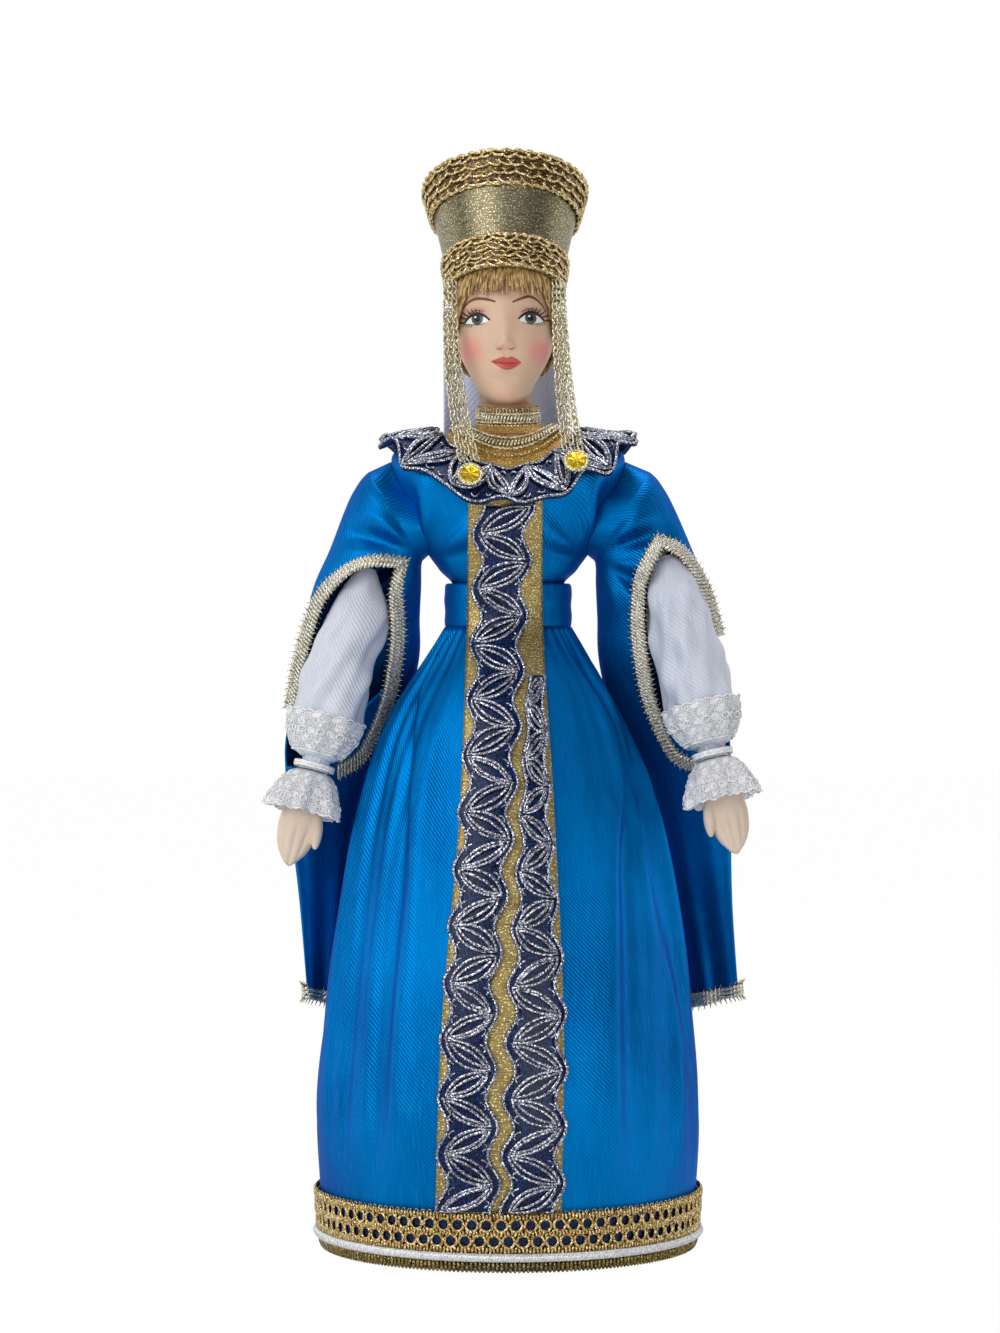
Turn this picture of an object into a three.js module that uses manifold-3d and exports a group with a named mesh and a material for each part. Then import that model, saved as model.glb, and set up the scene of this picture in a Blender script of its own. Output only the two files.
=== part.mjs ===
// A standing costume doll: porcelain head and hands, a stuffed body on a post, and a dress over a
// stiff cone. Millimetres, +Z up, the doll faces -Y, and left and right are the doll's own.
import * as THREE from 'three';
import { mergeVertices } from 'three/addons/utils/BufferGeometryUtils.js';
import Module from 'manifold-3d';

const wasm = await Module();
wasm.setup();

// Driving dimensions
const gap = 0.4;
const cloth = 0.9;
const trim = 1.1;
const post = { radius: 3, bore: 3.4, top: 212 };
const base = { thick: 3, inset: 0.5 };
const hem = { bottom: 0.8, width: 45.0, netLow: 5.3, netHigh: 13.6, cordRadius: 1.15, edgeHigh: 2.2 };
const waist = { width: 15.2, depth: 12.1, z: 151.8 };
const belt = { high: 162.4 };
const cone = { clear: 2.6, wall: 1.2, top: 143 };
const neck = { radius: 6.8, z: 201 };
const yoke = { width: 16, depth: 14.5, sideZ: 198.3, frontZ: 188.8 };
const collar = { width: 30.6, depth: 22.5, sideZ: 196.4, frontZ: 179.6, wave: 0.9, waves: 11 };
const head = { x: -0.75, y: 0.2, crown: 245.5, bore: 213 };
const hat = { tilt: 22, low: 13.0, high: 19.2, tall: 28.6, wall: 0.7, z: 234.3, y: 1.2 };
const hatBand = { low: 8.3, high: 9.6 };
const front = { low: 14.3, high: 183, lowWidth: 14.8, highWidth: 9.2, thick: 0.7 };
const arm = { wire: 1.1, bore: 1.5, puff: 8.2, wrist: 3.9 };
const palm = { long: 23, width: 5.4, depth: 3.3 };
const veil = { width: 14.6, low: 172, thick: 0.7 };

// Skirt outline: height, half width and half depth of the blue satin, from the hem to the waist.
const skirtRows = [
  [hem.bottom, hem.width, hem.width],
  [hem.netLow, hem.width + 0.6, hem.width + 0.6],
  [hem.netHigh, hem.width + 1.2, hem.width + 1.2],
  [30, hem.width + 2.2, hem.width + 1.8],
  [58, 45.0, 43.6],
  [83, 41.0, 38.6],
  [108, 35.6, 32.4],
  [133, 26.6, 23.4],
  [144, 20.0, 17.0],
  [waist.z, waist.width, waist.depth],
];

// Each side's hanging sleeve, from the hem up: the inner edge x and z, the outer edge x and z, the
// middle y, the half depth, and how far the inner edge leans back.
const sleeveRows = {
  left: [
    [41.0, 54.5, 57.2, 60.5, 17.0, 3.4, 10.5],
    [37.0, 81.5, 55.6, 84.5, 16.0, 4.6, 10.5],
    [31.5, 107, 55.2, 109, 15.0, 6.0, 10.5],
    [27.0, 124, 54.6, 126, 9.5, 7.8, 9.5],
    [22.6, 143, 51.8, 145, 2.5, 9.0, 4.0],
    [22.0, 154, 49.4, 160, 0.4, 9.4, 1.0],
    [21.6, 162, 45.2, 171.2, 0, 9.8, 0],
    [21.6, 166, 40.0, 183.0, 0, 10.4, 0],
    [21.4, 168, 36.0, 189.4, 0, 10.8, 0],
  ],
  right: [
    [37.8, 54.5, 50.0, 59.5, 21.6, 3.4, 11.0],
    [34.4, 81.5, 52.0, 84.5, 18.6, 4.6, 10.5],
    [31.0, 107, 54.6, 109, 15.0, 6.0, 10.5],
    [27.0, 124, 54.8, 126, 9.5, 7.8, 9.5],
    [22.2, 143, 50.6, 145, 2.5, 9.0, 4.0],
    [21.8, 154, 48.4, 160, 0.4, 9.4, 1.0],
    [21.4, 162, 43.8, 171.2, 0, 9.8, 0],
    [21.4, 166, 39.2, 183.0, 0, 10.4, 0],
    [21.2, 168, 35.4, 189.4, 0, 10.8, 0],
  ],
};

// Each side's slit, arm and pendant, as seen from the front.
const sides = {
  left: {
    sign: 1,
    slit: [[37.5, 171.5], [33.6, 163], [32.9, 153], [34.2, 143], [36.4, 133], [40.8, 122], [46, 118.6]],
    slitOut: [[60, 118.6], [60, 146], [50.0, 149.5], [47.4, 160], [43.0, 168]],
    top: [38.6, -4, 166.5],
    wrist: [50.0, -12, 119.5],
    pendant: [[12.0, -5.6, 236.2], [12.2, -14.4, 212], [15.6, -16.0, 194.6]],
    sequin: [16.4, -18.2, 191.6],
  },
  right: {
    sign: -1,
    slit: [[27.0, 166.6], [28.6, 160], [28.4, 150], [29.4, 142], [31.4, 133], [36.6, 121.5], [42, 117.4]],
    slitOut: [[60, 117.4], [60, 144], [48.8, 147.5], [45.4, 157.5], [39.6, 164.2], [34, 166.6]],
    top: [35.4, -4, 164],
    wrist: [47.6, -10, 116.5],
    pendant: [[13.4, -5.6, 236.2], [12.4, -15.0, 212], [9.3, -18.0, 191.2]],
    sequin: [9.2, -20.4, 188.2],
  },
};

const porcelain = { color: 0xf2c9a6, roughness: 0.35, metalness: 0 };
const satin = { color: 0x0a6fb8, roughness: 0.35, metalness: 0 };
const whiteSatin = { color: 0xe9e7f0, roughness: 0.45, metalness: 0 };
const lace = { color: 0xf4f3f6, roughness: 0.8, metalness: 0 };
const goldBraid = { color: 0xa8894a, roughness: 0.4, metalness: 0.7 };
const goldCloth = { color: 0xb39a55, roughness: 0.45, metalness: 0.5 };
const silverBraid = { color: 0x8f98ad, roughness: 0.4, metalness: 0.6 };
const paleGold = { color: 0xcfc3a0, roughness: 0.5, metalness: 0.5 };
const yellow = { color: 0xd9b62a, roughness: 0.3, metalness: 0.4 };
const card = { color: 0xb9a88a, roughness: 0.9, metalness: 0 };
const wood = { color: 0xc9a878, roughness: 0.7, metalness: 0 };
const hairGold = { color: 0xb08a4e, roughness: 0.5, metalness: 0 };

const doll = new THREE.Group();

// Smooth values between rows whose first number is the place along the row.
function between(rows, Kind = THREE.CubicInterpolant) {
  const places = rows.map((row) => row[0]);
  const values = rows.flatMap((row) => row.slice(1));
  const count = rows[0].length - 1;
  const curve = new Kind(places, values, count, new Float64Array(count));
  return (place) => Array.from(curve.evaluate(place));
}

function spread(from, to, steps) {
  return Array.from({ length: steps + 1 }, (_, i) => from + ((to - from) * i) / steps);
}

// A closed surface through a stack of rings. A ring takes an angle, 0 at the front and growing
// towards +X, and gives a point. A looped stack comes back to its first ring.
function loft(rings, steps, looped) {
  const stack = looped ? [...rings, rings[0]] : rings;
  const profile = stack.map((ring, i) => new THREE.Vector2(1, i));
  const geometry = new THREE.LatheGeometry(profile, steps);
  geometry.rotateX(Math.PI / 2);
  const place = geometry.attributes.position;
  for (let i = 0; i < place.count; i += 1) {
    const angle = Math.atan2(place.getX(i), -place.getY(i));
    const point = stack[Math.round(place.getZ(i))](angle);
    place.setXYZ(i, point.x, point.y, point.z);
  }
  return geometry;
}

function pole(x, y, z) {
  return () => new THREE.Vector3(x, y, z);
}

function oval(z, width, depth, back = depth, x = 0, y = 0) {
  return (angle) => {
    const reach = Math.cos(angle) > 0 ? depth : back;
    return new THREE.Vector3(x + width * Math.sin(angle), y - reach * Math.cos(angle), z);
  };
}

// A ring with a square or rounded section round the Z axis, given by its corner rings.
function hoop(corners, steps) {
  return loft(corners.map(([z, width, depth]) => oval(z, width, depth)), steps, true);
}

// A flat strip bent onto a surface: across runs from -1 to 1, along from 0 to 1.
function strip(cells, steps, thick, surface) {
  const geometry = new THREE.BoxGeometry(2, 1, 1, cells, steps, 1);
  const place = geometry.attributes.position;
  for (let i = 0; i < place.count; i += 1) {
    const lift = (place.getZ(i) + 0.5) * thick;
    const point = surface(place.getX(i), place.getY(i) + 0.5, lift);
    place.setXYZ(i, point.x, point.y, point.z);
  }
  return geometry;
}

function toSolid(geometry) {
  const bare = new THREE.BufferGeometry();
  bare.setAttribute('position', geometry.attributes.position.clone());
  bare.setIndex(geometry.index ? geometry.index.clone() : null);
  const merged = mergeVertices(bare, 1e-4);
  const index = merged.index.array;
  const kept = [];
  for (let i = 0; i < index.length; i += 3) {
    const corner = [index[i], index[i + 1], index[i + 2]];
    if (new Set(corner).size === 3) {
      kept.push(...corner);
    }
  }
  const vertProperties = new Float32Array(merged.attributes.position.array);
  const triVerts = new Uint32Array(kept);
  return new wasm.Manifold(new wasm.Mesh({ numProp: 3, vertProperties, triVerts }));
}

function fromSolid(solid) {
  const mesh = solid.getMesh();
  const geometry = new THREE.BufferGeometry();
  geometry.setAttribute('position', new THREE.BufferAttribute(new Float32Array(mesh.vertProperties), 3));
  geometry.setIndex(Array.from(mesh.triVerts));
  return geometry;
}

function add(parent, name, geometry, look) {
  const mesh = new THREE.Mesh(geometry, new THREE.MeshStandardMaterial(look));
  mesh.name = name;
  parent.add(mesh);
  return mesh;
}

// Inside: base disc, cone, post and torso.
const skirtAt = between(skirtRows);
const baseRadius = hem.width - cloth - base.inset;
add(doll, 'base_disc', loft([
  pole(0, 0, 0),
  oval(0, baseRadius, baseRadius),
  oval(base.thick, baseRadius, baseRadius),
  pole(0, 0, base.thick),
], 40), wood);

const coneLevels = spread(base.thick + gap, cone.top, 4);
const coneRing = (z, depth) => {
  const [width, deep] = skirtAt(z);
  const inset = cloth + cone.clear + depth;
  return oval(z, width - inset, deep - inset);
};
add(doll, 'skirt_cone', loft([
  ...coneLevels.map((z) => coneRing(z, 0)),
  ...coneLevels.toReversed().map((z) => coneRing(z, cone.wall)),
], 28, true), card);

add(doll, 'body_post', loft([
  pole(0, 0, base.thick + gap),
  oval(base.thick + gap, post.radius, post.radius),
  oval(post.top, post.radius, post.radius),
  pole(0, 0, post.top),
], 14), wood);

// The shoulders: 0 at the neck, 1 at the yoke's edge, 2 at the collar's edge.
const neckEdge = neck.radius + gap;
function shoulder(reach, angle, lift) {
  const side = Math.sin(angle) ** 2;
  const yokeZ = THREE.MathUtils.lerp(yoke.frontZ, yoke.sideZ, side);
  const collarZ = THREE.MathUtils.lerp(collar.frontZ, collar.sideZ, side);
  const [width, depth, z] = reach < 1
    ? [
      THREE.MathUtils.lerp(neckEdge, yoke.width, reach),
      THREE.MathUtils.lerp(neckEdge, yoke.depth, reach),
      THREE.MathUtils.lerp(neck.z, yokeZ, reach),
    ]
    : [
      THREE.MathUtils.lerp(yoke.width, collar.width, reach - 1),
      THREE.MathUtils.lerp(yoke.depth, collar.depth, reach - 1),
      THREE.MathUtils.lerp(yokeZ, collarZ, reach - 1),
    ];
  return new THREE.Vector3(width * Math.sin(angle), -depth * Math.cos(angle), z + lift);
}

const onShoulder = (reach, lift) => (angle) => shoulder(reach, angle, lift);
const yokeThick = 0.7;
const steep = 0.75;
const plateThick = 2.4;

// Bodice outline: height at the front, half width, half depth, and how much higher the sides are.
const bodiceRows = [
  [waist.z + gap, waist.width - cloth - gap, waist.depth - cloth - gap, 0],
  [belt.high, waist.width - cloth - gap, waist.depth - cloth - gap, 0],
  [166, 17.0, 12.6, 0],
  [170, 20.0, 13.8, 0],
  [176, 23.6, 15.0, 0],
  [181, 26.6, 15.8, 1.6],
  [184.4, 28.6, 16.6, 4.6],
  [185.6, 28.6, 16.6, 8.4],
  [186.6, 25.0, 16.2, 9.8],
];
const bodiceAt = between(bodiceRows);

// Pulls of cloth fan from the collar down to each armpit.
function bodicePull(z, angle) {
  const near = Math.exp(-(((z - 172) / 9) ** 2));
  const flank = Math.abs(Math.sin(angle)) ** 4 * Math.abs(Math.cos(angle));
  return 1.5 * near * flank * Math.cos(9 * angle);
}

function bodice(z, angle, depth) {
  const [width, deep, rise] = bodiceAt(z);
  const square = 1 + 0.1 * THREE.MathUtils.smoothstep(z, 166, 180) * Math.sin(2 * angle) ** 2;
  const pull = bodicePull(z, angle) - depth;
  const x = (width + pull) * Math.sin(angle) * square;
  const y = -(deep + pull) * Math.cos(angle) * square;
  return new THREE.Vector3(x, y, z + rise * Math.sin(angle) ** 2 - (rise > 6 ? depth : 0));
}

const bodiceLevels = bodiceRows.map((row) => row[0]);
const bodiceRing = (z, depth) => (angle) => bodice(z, angle, depth);
const bodiceSteps = 32;
add(doll, 'bodice', loft([
  ...bodiceLevels.map((z) => bodiceRing(z, 0)),
  ...bodiceLevels.toReversed().map((z) => bodiceRing(z, cloth)),
], bodiceSteps, true), satin);

const torsoInset = cloth + gap + 0.5;
const torsoLevels = bodiceLevels.slice(0, -3);
const torsoTop = onShoulder(0.75, -(steep + plateThick + 1.6));
add(doll, 'torso', loft([
  ...torsoLevels.map((z) => bodiceRing(z, torsoInset)),
  torsoTop,
  oval(neck.z - plateThick - 3.2, post.bore, post.bore),
  oval(torsoLevels[0], post.bore, post.bore),
], 20, true), wood);

// Head: the neck grows from a plate that spreads under the yoke. Each row has the height at the
// front, the half width, the reach to the front and to the back, and the rise towards the back.
const headRows = [
  [neck.z + 4.4, neck.radius, neck.radius, neck.radius, 0],
  [206.0, 7.0, 7.4, 7.4, 3],
  [206.3, 7.3, 9.2, 8.4, 7],
  [207.4, 8.0, 10.6, 9.0, 9.5],
  [210.5, 9.3, 11.3, 9.7, 8],
  [215.0, 10.5, 11.6, 10.2, 5],
  [219.0, 11.4, 11.8, 10.5, 2.5],
  [221.5, 11.7, 11.8, 10.6, 1.2],
  [224.5, 11.8, 11.7, 10.6, 0.5],
  [229.0, 11.7, 11.2, 10.5, 0],
  [233.0, 11.2, 10.6, 10.2, 0],
  [237.0, 10.2, 9.3, 9.6, 0],
  [241.0, 8.2, 7.2, 8.2, 0],
  [244.2, 4.8, 4.2, 5.2, 0],
];
const nose = { z: 221.2, long: 2.2, tall: 8.5, width: 1.7 };

function headPoint(row, angle, grow) {
  const [z, width, deep, back, rise] = row;
  const reach = (Math.cos(angle) > 0 ? deep : back) + grow;
  const x = (width + grow) * Math.sin(angle);
  const high = z + (rise * (1 - Math.cos(angle))) / 2;
  const along = (high - nose.z) / nose.tall;
  const ridge = along < 0 ? Math.exp(-((along * 5) ** 2)) : Math.max(0, 1 - along);
  const bump = Math.cos(angle) > 0 ? nose.long * ridge * Math.exp(-((x / nose.width) ** 2)) : 0;
  const set = THREE.MathUtils.smoothstep(high, neck.z + 4.4, neck.z + 9);
  return new THREE.Vector3(set * head.x + x, set * head.y - reach * Math.cos(angle) - bump, high);
}

const headAt = between(headRows);
const headRing = (z, grow) => (angle) => headPoint([z, ...headAt(z)], angle, grow);
const neckMiddle = (z) => oval(z, neck.radius, neck.radius);
const plateLow = -(steep + plateThick);
add(doll, 'head', loft([
  pole(0, 0, head.bore),
  oval(head.bore, post.bore, post.bore),
  oval(neck.z - plateThick - 1.2, post.bore, post.bore),
  onShoulder(0.05, plateLow),
  onShoulder(0.9, plateLow),
  onShoulder(0.95, -steep),
  onShoulder(0.35, -steep),
  neckMiddle(neck.z - 0.6),
  ...headRows.map((row) => headRing(row[0], 0)),
  pole(head.x, head.y, head.crown),
], 28), porcelain);

// Hair: a fringe at the front, longer at the sides and back, all under the hat.
const hair = { fringe: 234.6, back: 213.5, top: 240.2, thick: 0.9, clear: 0.7 };
const hairFoot = (angle) => {
  const turn = Math.abs(angle);
  const side = THREE.MathUtils.smoothstep(turn, 0.75, 1.35);
  return THREE.MathUtils.lerp(hair.fringe, hair.back + 9 * Math.exp(-(((turn - 1.4) / 0.5) ** 2)), side);
};
const hairRing = (part, grow) => (angle) => {
  const z = THREE.MathUtils.lerp(hairFoot(angle), hair.top, part);
  const row = headAt(z);
  row[3] = 0;
  return headPoint([z, ...row], angle, grow);
};
const hairParts = spread(0, 1, 3);
add(doll, 'hair', loft([
  ...hairParts.map((part) => hairRing(part, hair.clear + hair.thick)),
  ...hairParts.toReversed().map((part) => hairRing(part, hair.clear)),
], 32, true), hairGold);

// Hat: a flared shell with a disc in its top and a braid round each edge, all tilted back.
const hatGroup = new THREE.Group();
hatGroup.position.set(head.x, hat.y, hat.z);
hatGroup.rotation.x = -THREE.MathUtils.degToRad(hat.tilt);
doll.add(hatGroup);
const hatRadius = (z) => hat.low + ((hat.high - hat.low) * z) / hat.tall;
const hatSteps = 32;
const hatHoop = (low, high, inset, wall) => hoop([
  [low, hatRadius(low) + inset + wall, hatRadius(low) + inset + wall],
  [high, hatRadius(high) + inset + wall, hatRadius(high) + inset + wall],
  [high, hatRadius(high) + inset, hatRadius(high) + inset],
  [low, hatRadius(low) + inset, hatRadius(low) + inset],
], hatSteps);
add(hatGroup, 'hat_shell', hatHoop(0, hat.tall, 0, hat.wall), goldCloth);
const lidRadius = hatRadius(hat.tall - 1) - gap;
add(hatGroup, 'hat_lid', loft([
  pole(0, 0, hat.tall - 2),
  oval(hat.tall - 2, lidRadius - gap, lidRadius - gap),
  oval(hat.tall - 1, lidRadius - gap, lidRadius - gap),
  pole(0, 0, hat.tall - 1),
], hatSteps), goldCloth);
add(hatGroup, 'hat_band_top', hatHoop(hat.tall - hatBand.high, hat.tall, hat.wall + gap, trim - gap), goldBraid);
add(hatGroup, 'hat_band_bottom', hatHoop(0, hatBand.low, hat.wall + gap, trim - gap), goldBraid);

// Neck: yoke, two braids and the ruffled collar.
const yokeParts = spread(0.04, 1, 2);
add(doll, 'yoke', loft([
  ...yokeParts.toReversed().map((reach) => onShoulder(reach, yokeThick)),
  ...yokeParts.map((reach) => onShoulder(reach, 0)),
], 28, true), goldCloth);
const chokerIn = neck.radius + gap;
const chokerOut = chokerIn + trim - gap;
const chokerLow = neck.z + yokeThick + gap;
const choker = { high: neck.z + 4.2 };
add(doll, 'neck_choker', hoop([
  [chokerLow, chokerOut, chokerOut],
  [choker.high, chokerOut, chokerOut],
  [choker.high, chokerIn, chokerIn],
  [chokerLow, chokerIn, chokerIn],
], 24), goldBraid);
add(doll, 'neck_braid', loft([
  onShoulder(0.62, yokeThick + steep + trim),
  onShoulder(0.42, yokeThick + steep + trim),
  onShoulder(0.42, yokeThick + steep),
  onShoulder(0.62, yokeThick + steep),
], 28, true), goldBraid);

const collarLift = yokeThick + steep;
const collarRing = (reach, lift) => (angle) => {
  const wave = collar.wave * (reach - 1) ** 2 * Math.cos(collar.waves * angle);
  return shoulder(reach, angle, collarLift + lift + wave);
};
const collarParts = spread(1.02, 2, 2);
add(doll, 'collar', loft([
  ...collarParts.toReversed().map((reach) => collarRing(reach, trim)),
  ...collarParts.map((reach) => collarRing(reach, 0)),
], 55, true), silverBraid);

// Belt and skirt.
const beltRing = (z, depth) => oval(z, waist.width - depth, waist.depth - depth);
add(doll, 'belt', loft([
  beltRing(waist.z + gap, 0),
  beltRing(belt.high, 0),
  beltRing(belt.high, cloth),
  beltRing(waist.z + gap, cloth),
], bodiceSteps, true), satin);

const fold = { deep: 1.7, count: 10, wander: 0.6, sharp: 1.04, sharpCount: 15, sharpWander: 1.7, turnZ: 46 };
function skirtFold(z, angle) {
  const grow = THREE.MathUtils.smoothstep(z, hem.netHigh, 90) * THREE.MathUtils.smoothstep(waist.z - z, -6, 40);
  const apart = 1 - Math.exp(-((angle / 0.72) ** 4));
  const soft = fold.deep * grow * Math.cos(fold.count * angle + fold.wander * Math.sin(3 * angle));
  const near = THREE.MathUtils.smoothstep(z, hem.netHigh, 40) * THREE.MathUtils.smoothstep(waist.z - z, -4, 24);
  const turn = fold.sharpCount * angle + fold.sharpWander * Math.sin(2 * angle + z / fold.turnZ) + 0.8;
  return apart * (soft + fold.sharp * near * Math.cos(turn) ** 3);
}

const skirtRing = (z, depth) => (angle) => {
  const [width, deep] = skirtAt(z);
  const out = skirtFold(z, angle) - depth;
  return new THREE.Vector3((width + out) * Math.sin(angle), -(deep + out) * Math.cos(angle), z);
};
const skirtLevels = [hem.bottom, hem.netHigh, 36, 62, 88, 114, 137, waist.z];
add(doll, 'skirt', loft([
  ...skirtLevels.map((z) => skirtRing(z, 0)),
  ...skirtLevels.toReversed().map((z) => skirtRing(z, cloth)),
], 72, true), satin);

// Hem: a net braid, a round cord and an edge braid.
const hemSteps = 44;
const hemNet = (z, out) => {
  const radius = skirtAt(z)[0] + gap + out;
  return [z, radius, radius];
};
add(doll, 'hem_net_braid', hoop([
  hemNet(hem.netLow, trim),
  hemNet(hem.netHigh, trim),
  hemNet(hem.netHigh, 0),
  hemNet(hem.netLow, 0),
], hemSteps), goldBraid);
const cordZ = hem.netLow - gap - hem.cordRadius;
const cordIn = skirtAt(cordZ)[0] + gap + hem.cordRadius;
const cordSides = 6;
add(doll, 'hem_cord', hoop(Array.from({ length: cordSides }, (_, i) => {
  const turn = ((i + 0.5) / cordSides) * 2 * Math.PI;
  const radius = cordIn + hem.cordRadius * Math.cos(turn);
  return [cordZ + hem.cordRadius * Math.sin(turn), radius, radius];
}), hemSteps), lace);
const edgeIn = skirtAt(hem.edgeHigh)[0] + gap;
const edgeLow = 0.3;
add(doll, 'hem_edge_braid', hoop([
  [edgeLow, edgeIn + trim, edgeIn + trim],
  [hem.edgeHigh, edgeIn + trim, edgeIn + trim],
  [hem.edgeHigh, edgeIn, edgeIn],
  [edgeLow, edgeIn, edgeIn],
], hemSteps), goldBraid);

// Front: a gold ribbon from under the collar to the hem, with two braids on it.
const frontLevels = between([
  [front.low, skirtAt(front.low)[1]],
  [30, skirtAt(30)[1]],
  [58, skirtAt(58)[1]],
  [83, skirtAt(83)[1]],
  [108, skirtAt(108)[1]],
  [133, skirtAt(133)[1]],
  [144, skirtAt(144)[1]],
  [waist.z, waist.depth + 0.5],
  [belt.high, waist.depth + 0.5],
  [170, 14.6],
  [176, 15.8],
  [front.high, 17.4],
]);
const frontCurve = between([
  ...[front.low, 58, 83, 108, 133, waist.z].map((z) => [z, skirtAt(z)[0] + 1.5]),
  [front.high, 26],
]);

// The front's own surface: how far it bulges, and how it falls away to each side.
function frontPoint(x, z, lift) {
  const across = x / frontCurve(z)[0];
  return new THREE.Vector3(x, -frontLevels(z)[0] * Math.sqrt(1 - across * across) - lift, z);
}

const frontStrip = (low, high, edges, lift, thick, steps) => strip(3, steps, thick, (across, along, rise) => {
  const z = THREE.MathUtils.lerp(low, high, along);
  const [from, to] = edges(z);
  return frontPoint(THREE.MathUtils.lerp(from, to, (across + 1) / 2), z, lift + rise);
});
const ribbonEdges = between([
  [front.low, -front.lowWidth - 2.4, front.lowWidth - 2.4],
  [55, -15.9, 13.0],
  [108, -11.6, 10.9],
  [150, -10.2, 8.6],
  [front.high, -9.7, 8.3],
]);
const braidEdges = {
  right: between([
    [front.low, -15.8, -2.9],
    [55, -15.0, -3.9],
    [108, -10.8, 0.8],
    [150, -8.0, 3.4],
    [front.high, -7.2, 5.4],
  ]),
  left: between([
    [front.low, -0.9, 11.8],
    [55, 0.4, 12.6],
    [108, 3.3, 9.6],
    [140, 5.0, 8.4],
  ]),
};
const frontGap = 0.6;
add(doll, 'front_ribbon', frontStrip(front.low, front.high, ribbonEdges, frontGap, front.thick, 18), goldCloth);
const braidLift = frontGap + front.thick + frontGap;
add(doll, 'front_braid_right', frontStrip(front.low, front.high - 2, braidEdges.right, braidLift, trim, 18), silverBraid);
add(doll, 'front_braid_left', frontStrip(front.low, 140, braidEdges.left, braidLift, trim, 14), silverBraid);

// Hanging sleeves: each starts on the bodice round the armhole and hangs open down to its hem.
const sleeveCut = 1;
const armhole = { low: 169.4, high: 185.2, turn: 0.62 };
const sleeveFold = { deep: 0.8, count: 5 };

function sleeve(side, level, angle, depth) {
  const rows = sleeveRows[side];
  const { sign } = sides[side];
  const seat = sign * Math.sin(angle);
  const face = Math.cos(angle);
  const last = rows.length - 1;
  if (level > last) {
    const shrink = 1 - depth / 10;
    const middle = (armhole.low + armhole.high) / 2;
    const z = middle + (armhole.high - middle) * seat * shrink;
    const turn = Math.PI / 2 - armhole.turn * face * shrink;
    const point = bodice(z, turn, -gap);
    return new THREE.Vector3(sign * point.x, point.y, point.z);
  }
  const [inX, inZ, outX, outZ, middleY, deep, lean] = rows[level];
  const along = (outX - inX) / 2 - depth;
  const hang = THREE.MathUtils.smoothstep(3 - level, 0, 3);
  const ripple = hang * sleeveFold.deep * Math.cos(sleeveFold.count * angle * sign);
  const share = along / ((outX - inX) / 2);
  return new THREE.Vector3(
    sign * ((inX + outX) / 2 + seat * along),
    middleY - face * (deep - depth + ripple) - seat * lean * share,
    (inZ + outZ) / 2 + (seat * share * (outZ - inZ)) / 2,
  );
}

// The front of a sleeve at a given x and height, for the braid round its slit.
function sleeveFront(side, x, z, lift) {
  const rows = sleeveRows[side].map((row, i) => [i, ...row]);
  const rowAt = between(rows, THREE.LinearInterpolant);
  let low = 0;
  let high = rows.length - 1;
  let seat = 0;
  let row = rowAt(low);
  for (let i = 0; i < 30; i += 1) {
    const level = (low + high) / 2;
    row = rowAt(level);
    seat = (x - (row[0] + row[2]) / 2) / ((row[2] - row[0]) / 2);
    seat = Math.max(-0.96, Math.min(0.96, seat));
    const height = (row[1] + row[3]) / 2 + (seat * (row[3] - row[1])) / 2;
    if (height < z) {
      low = level;
    } else {
      high = level;
    }
  }
  const y = row[4] - Math.sqrt(1 - seat * seat) * row[5] - seat * row[6];
  return new THREE.Vector3(sides[side].sign * x, y - lift, z);
}

function slitShape(side) {
  const { sign, slit, slitOut } = sides[side];
  const inner = new THREE.SplineCurve(slit.map(([x, z]) => new THREE.Vector2(sign * x, z)));
  const outer = slitOut.map(([x, z]) => new THREE.Vector2(sign * x, z));
  return new THREE.Shape([...inner.getPoints(14), ...outer]);
}

const slitBraid = { radius: 0.85, width: 1.7, low: 150 };
function slitBraidPath(side) {
  const { sign, slit, slitOut } = sides[side];
  const lift = gap + slitBraid.radius + 0.5;
  const outer = slitOut.filter(([x, z]) => z > slitBraid.low - 4 && x < 55);
  const middleX = 42;
  const middleZ = 145;
  const points = [...slit.toReversed(), ...outer.toReversed()].map(([x, z]) => {
    const away = new THREE.Vector2(x - middleX, (z - middleZ) / 2.2).normalize();
    return sleeveFront(side, x + away.x * slitBraid.width, z + away.y * slitBraid.width, lift);
  });
  return new THREE.CatmullRomCurve3(points, false, 'centripetal');
}

function bead(radius, count) {
  const outline = Array.from({ length: count }, (_, i) => {
    const turn = (i / count) * 2 * Math.PI;
    return new THREE.Vector2(radius * Math.cos(turn), radius * Math.sin(turn));
  });
  return new THREE.Shape(outline);
}

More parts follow.
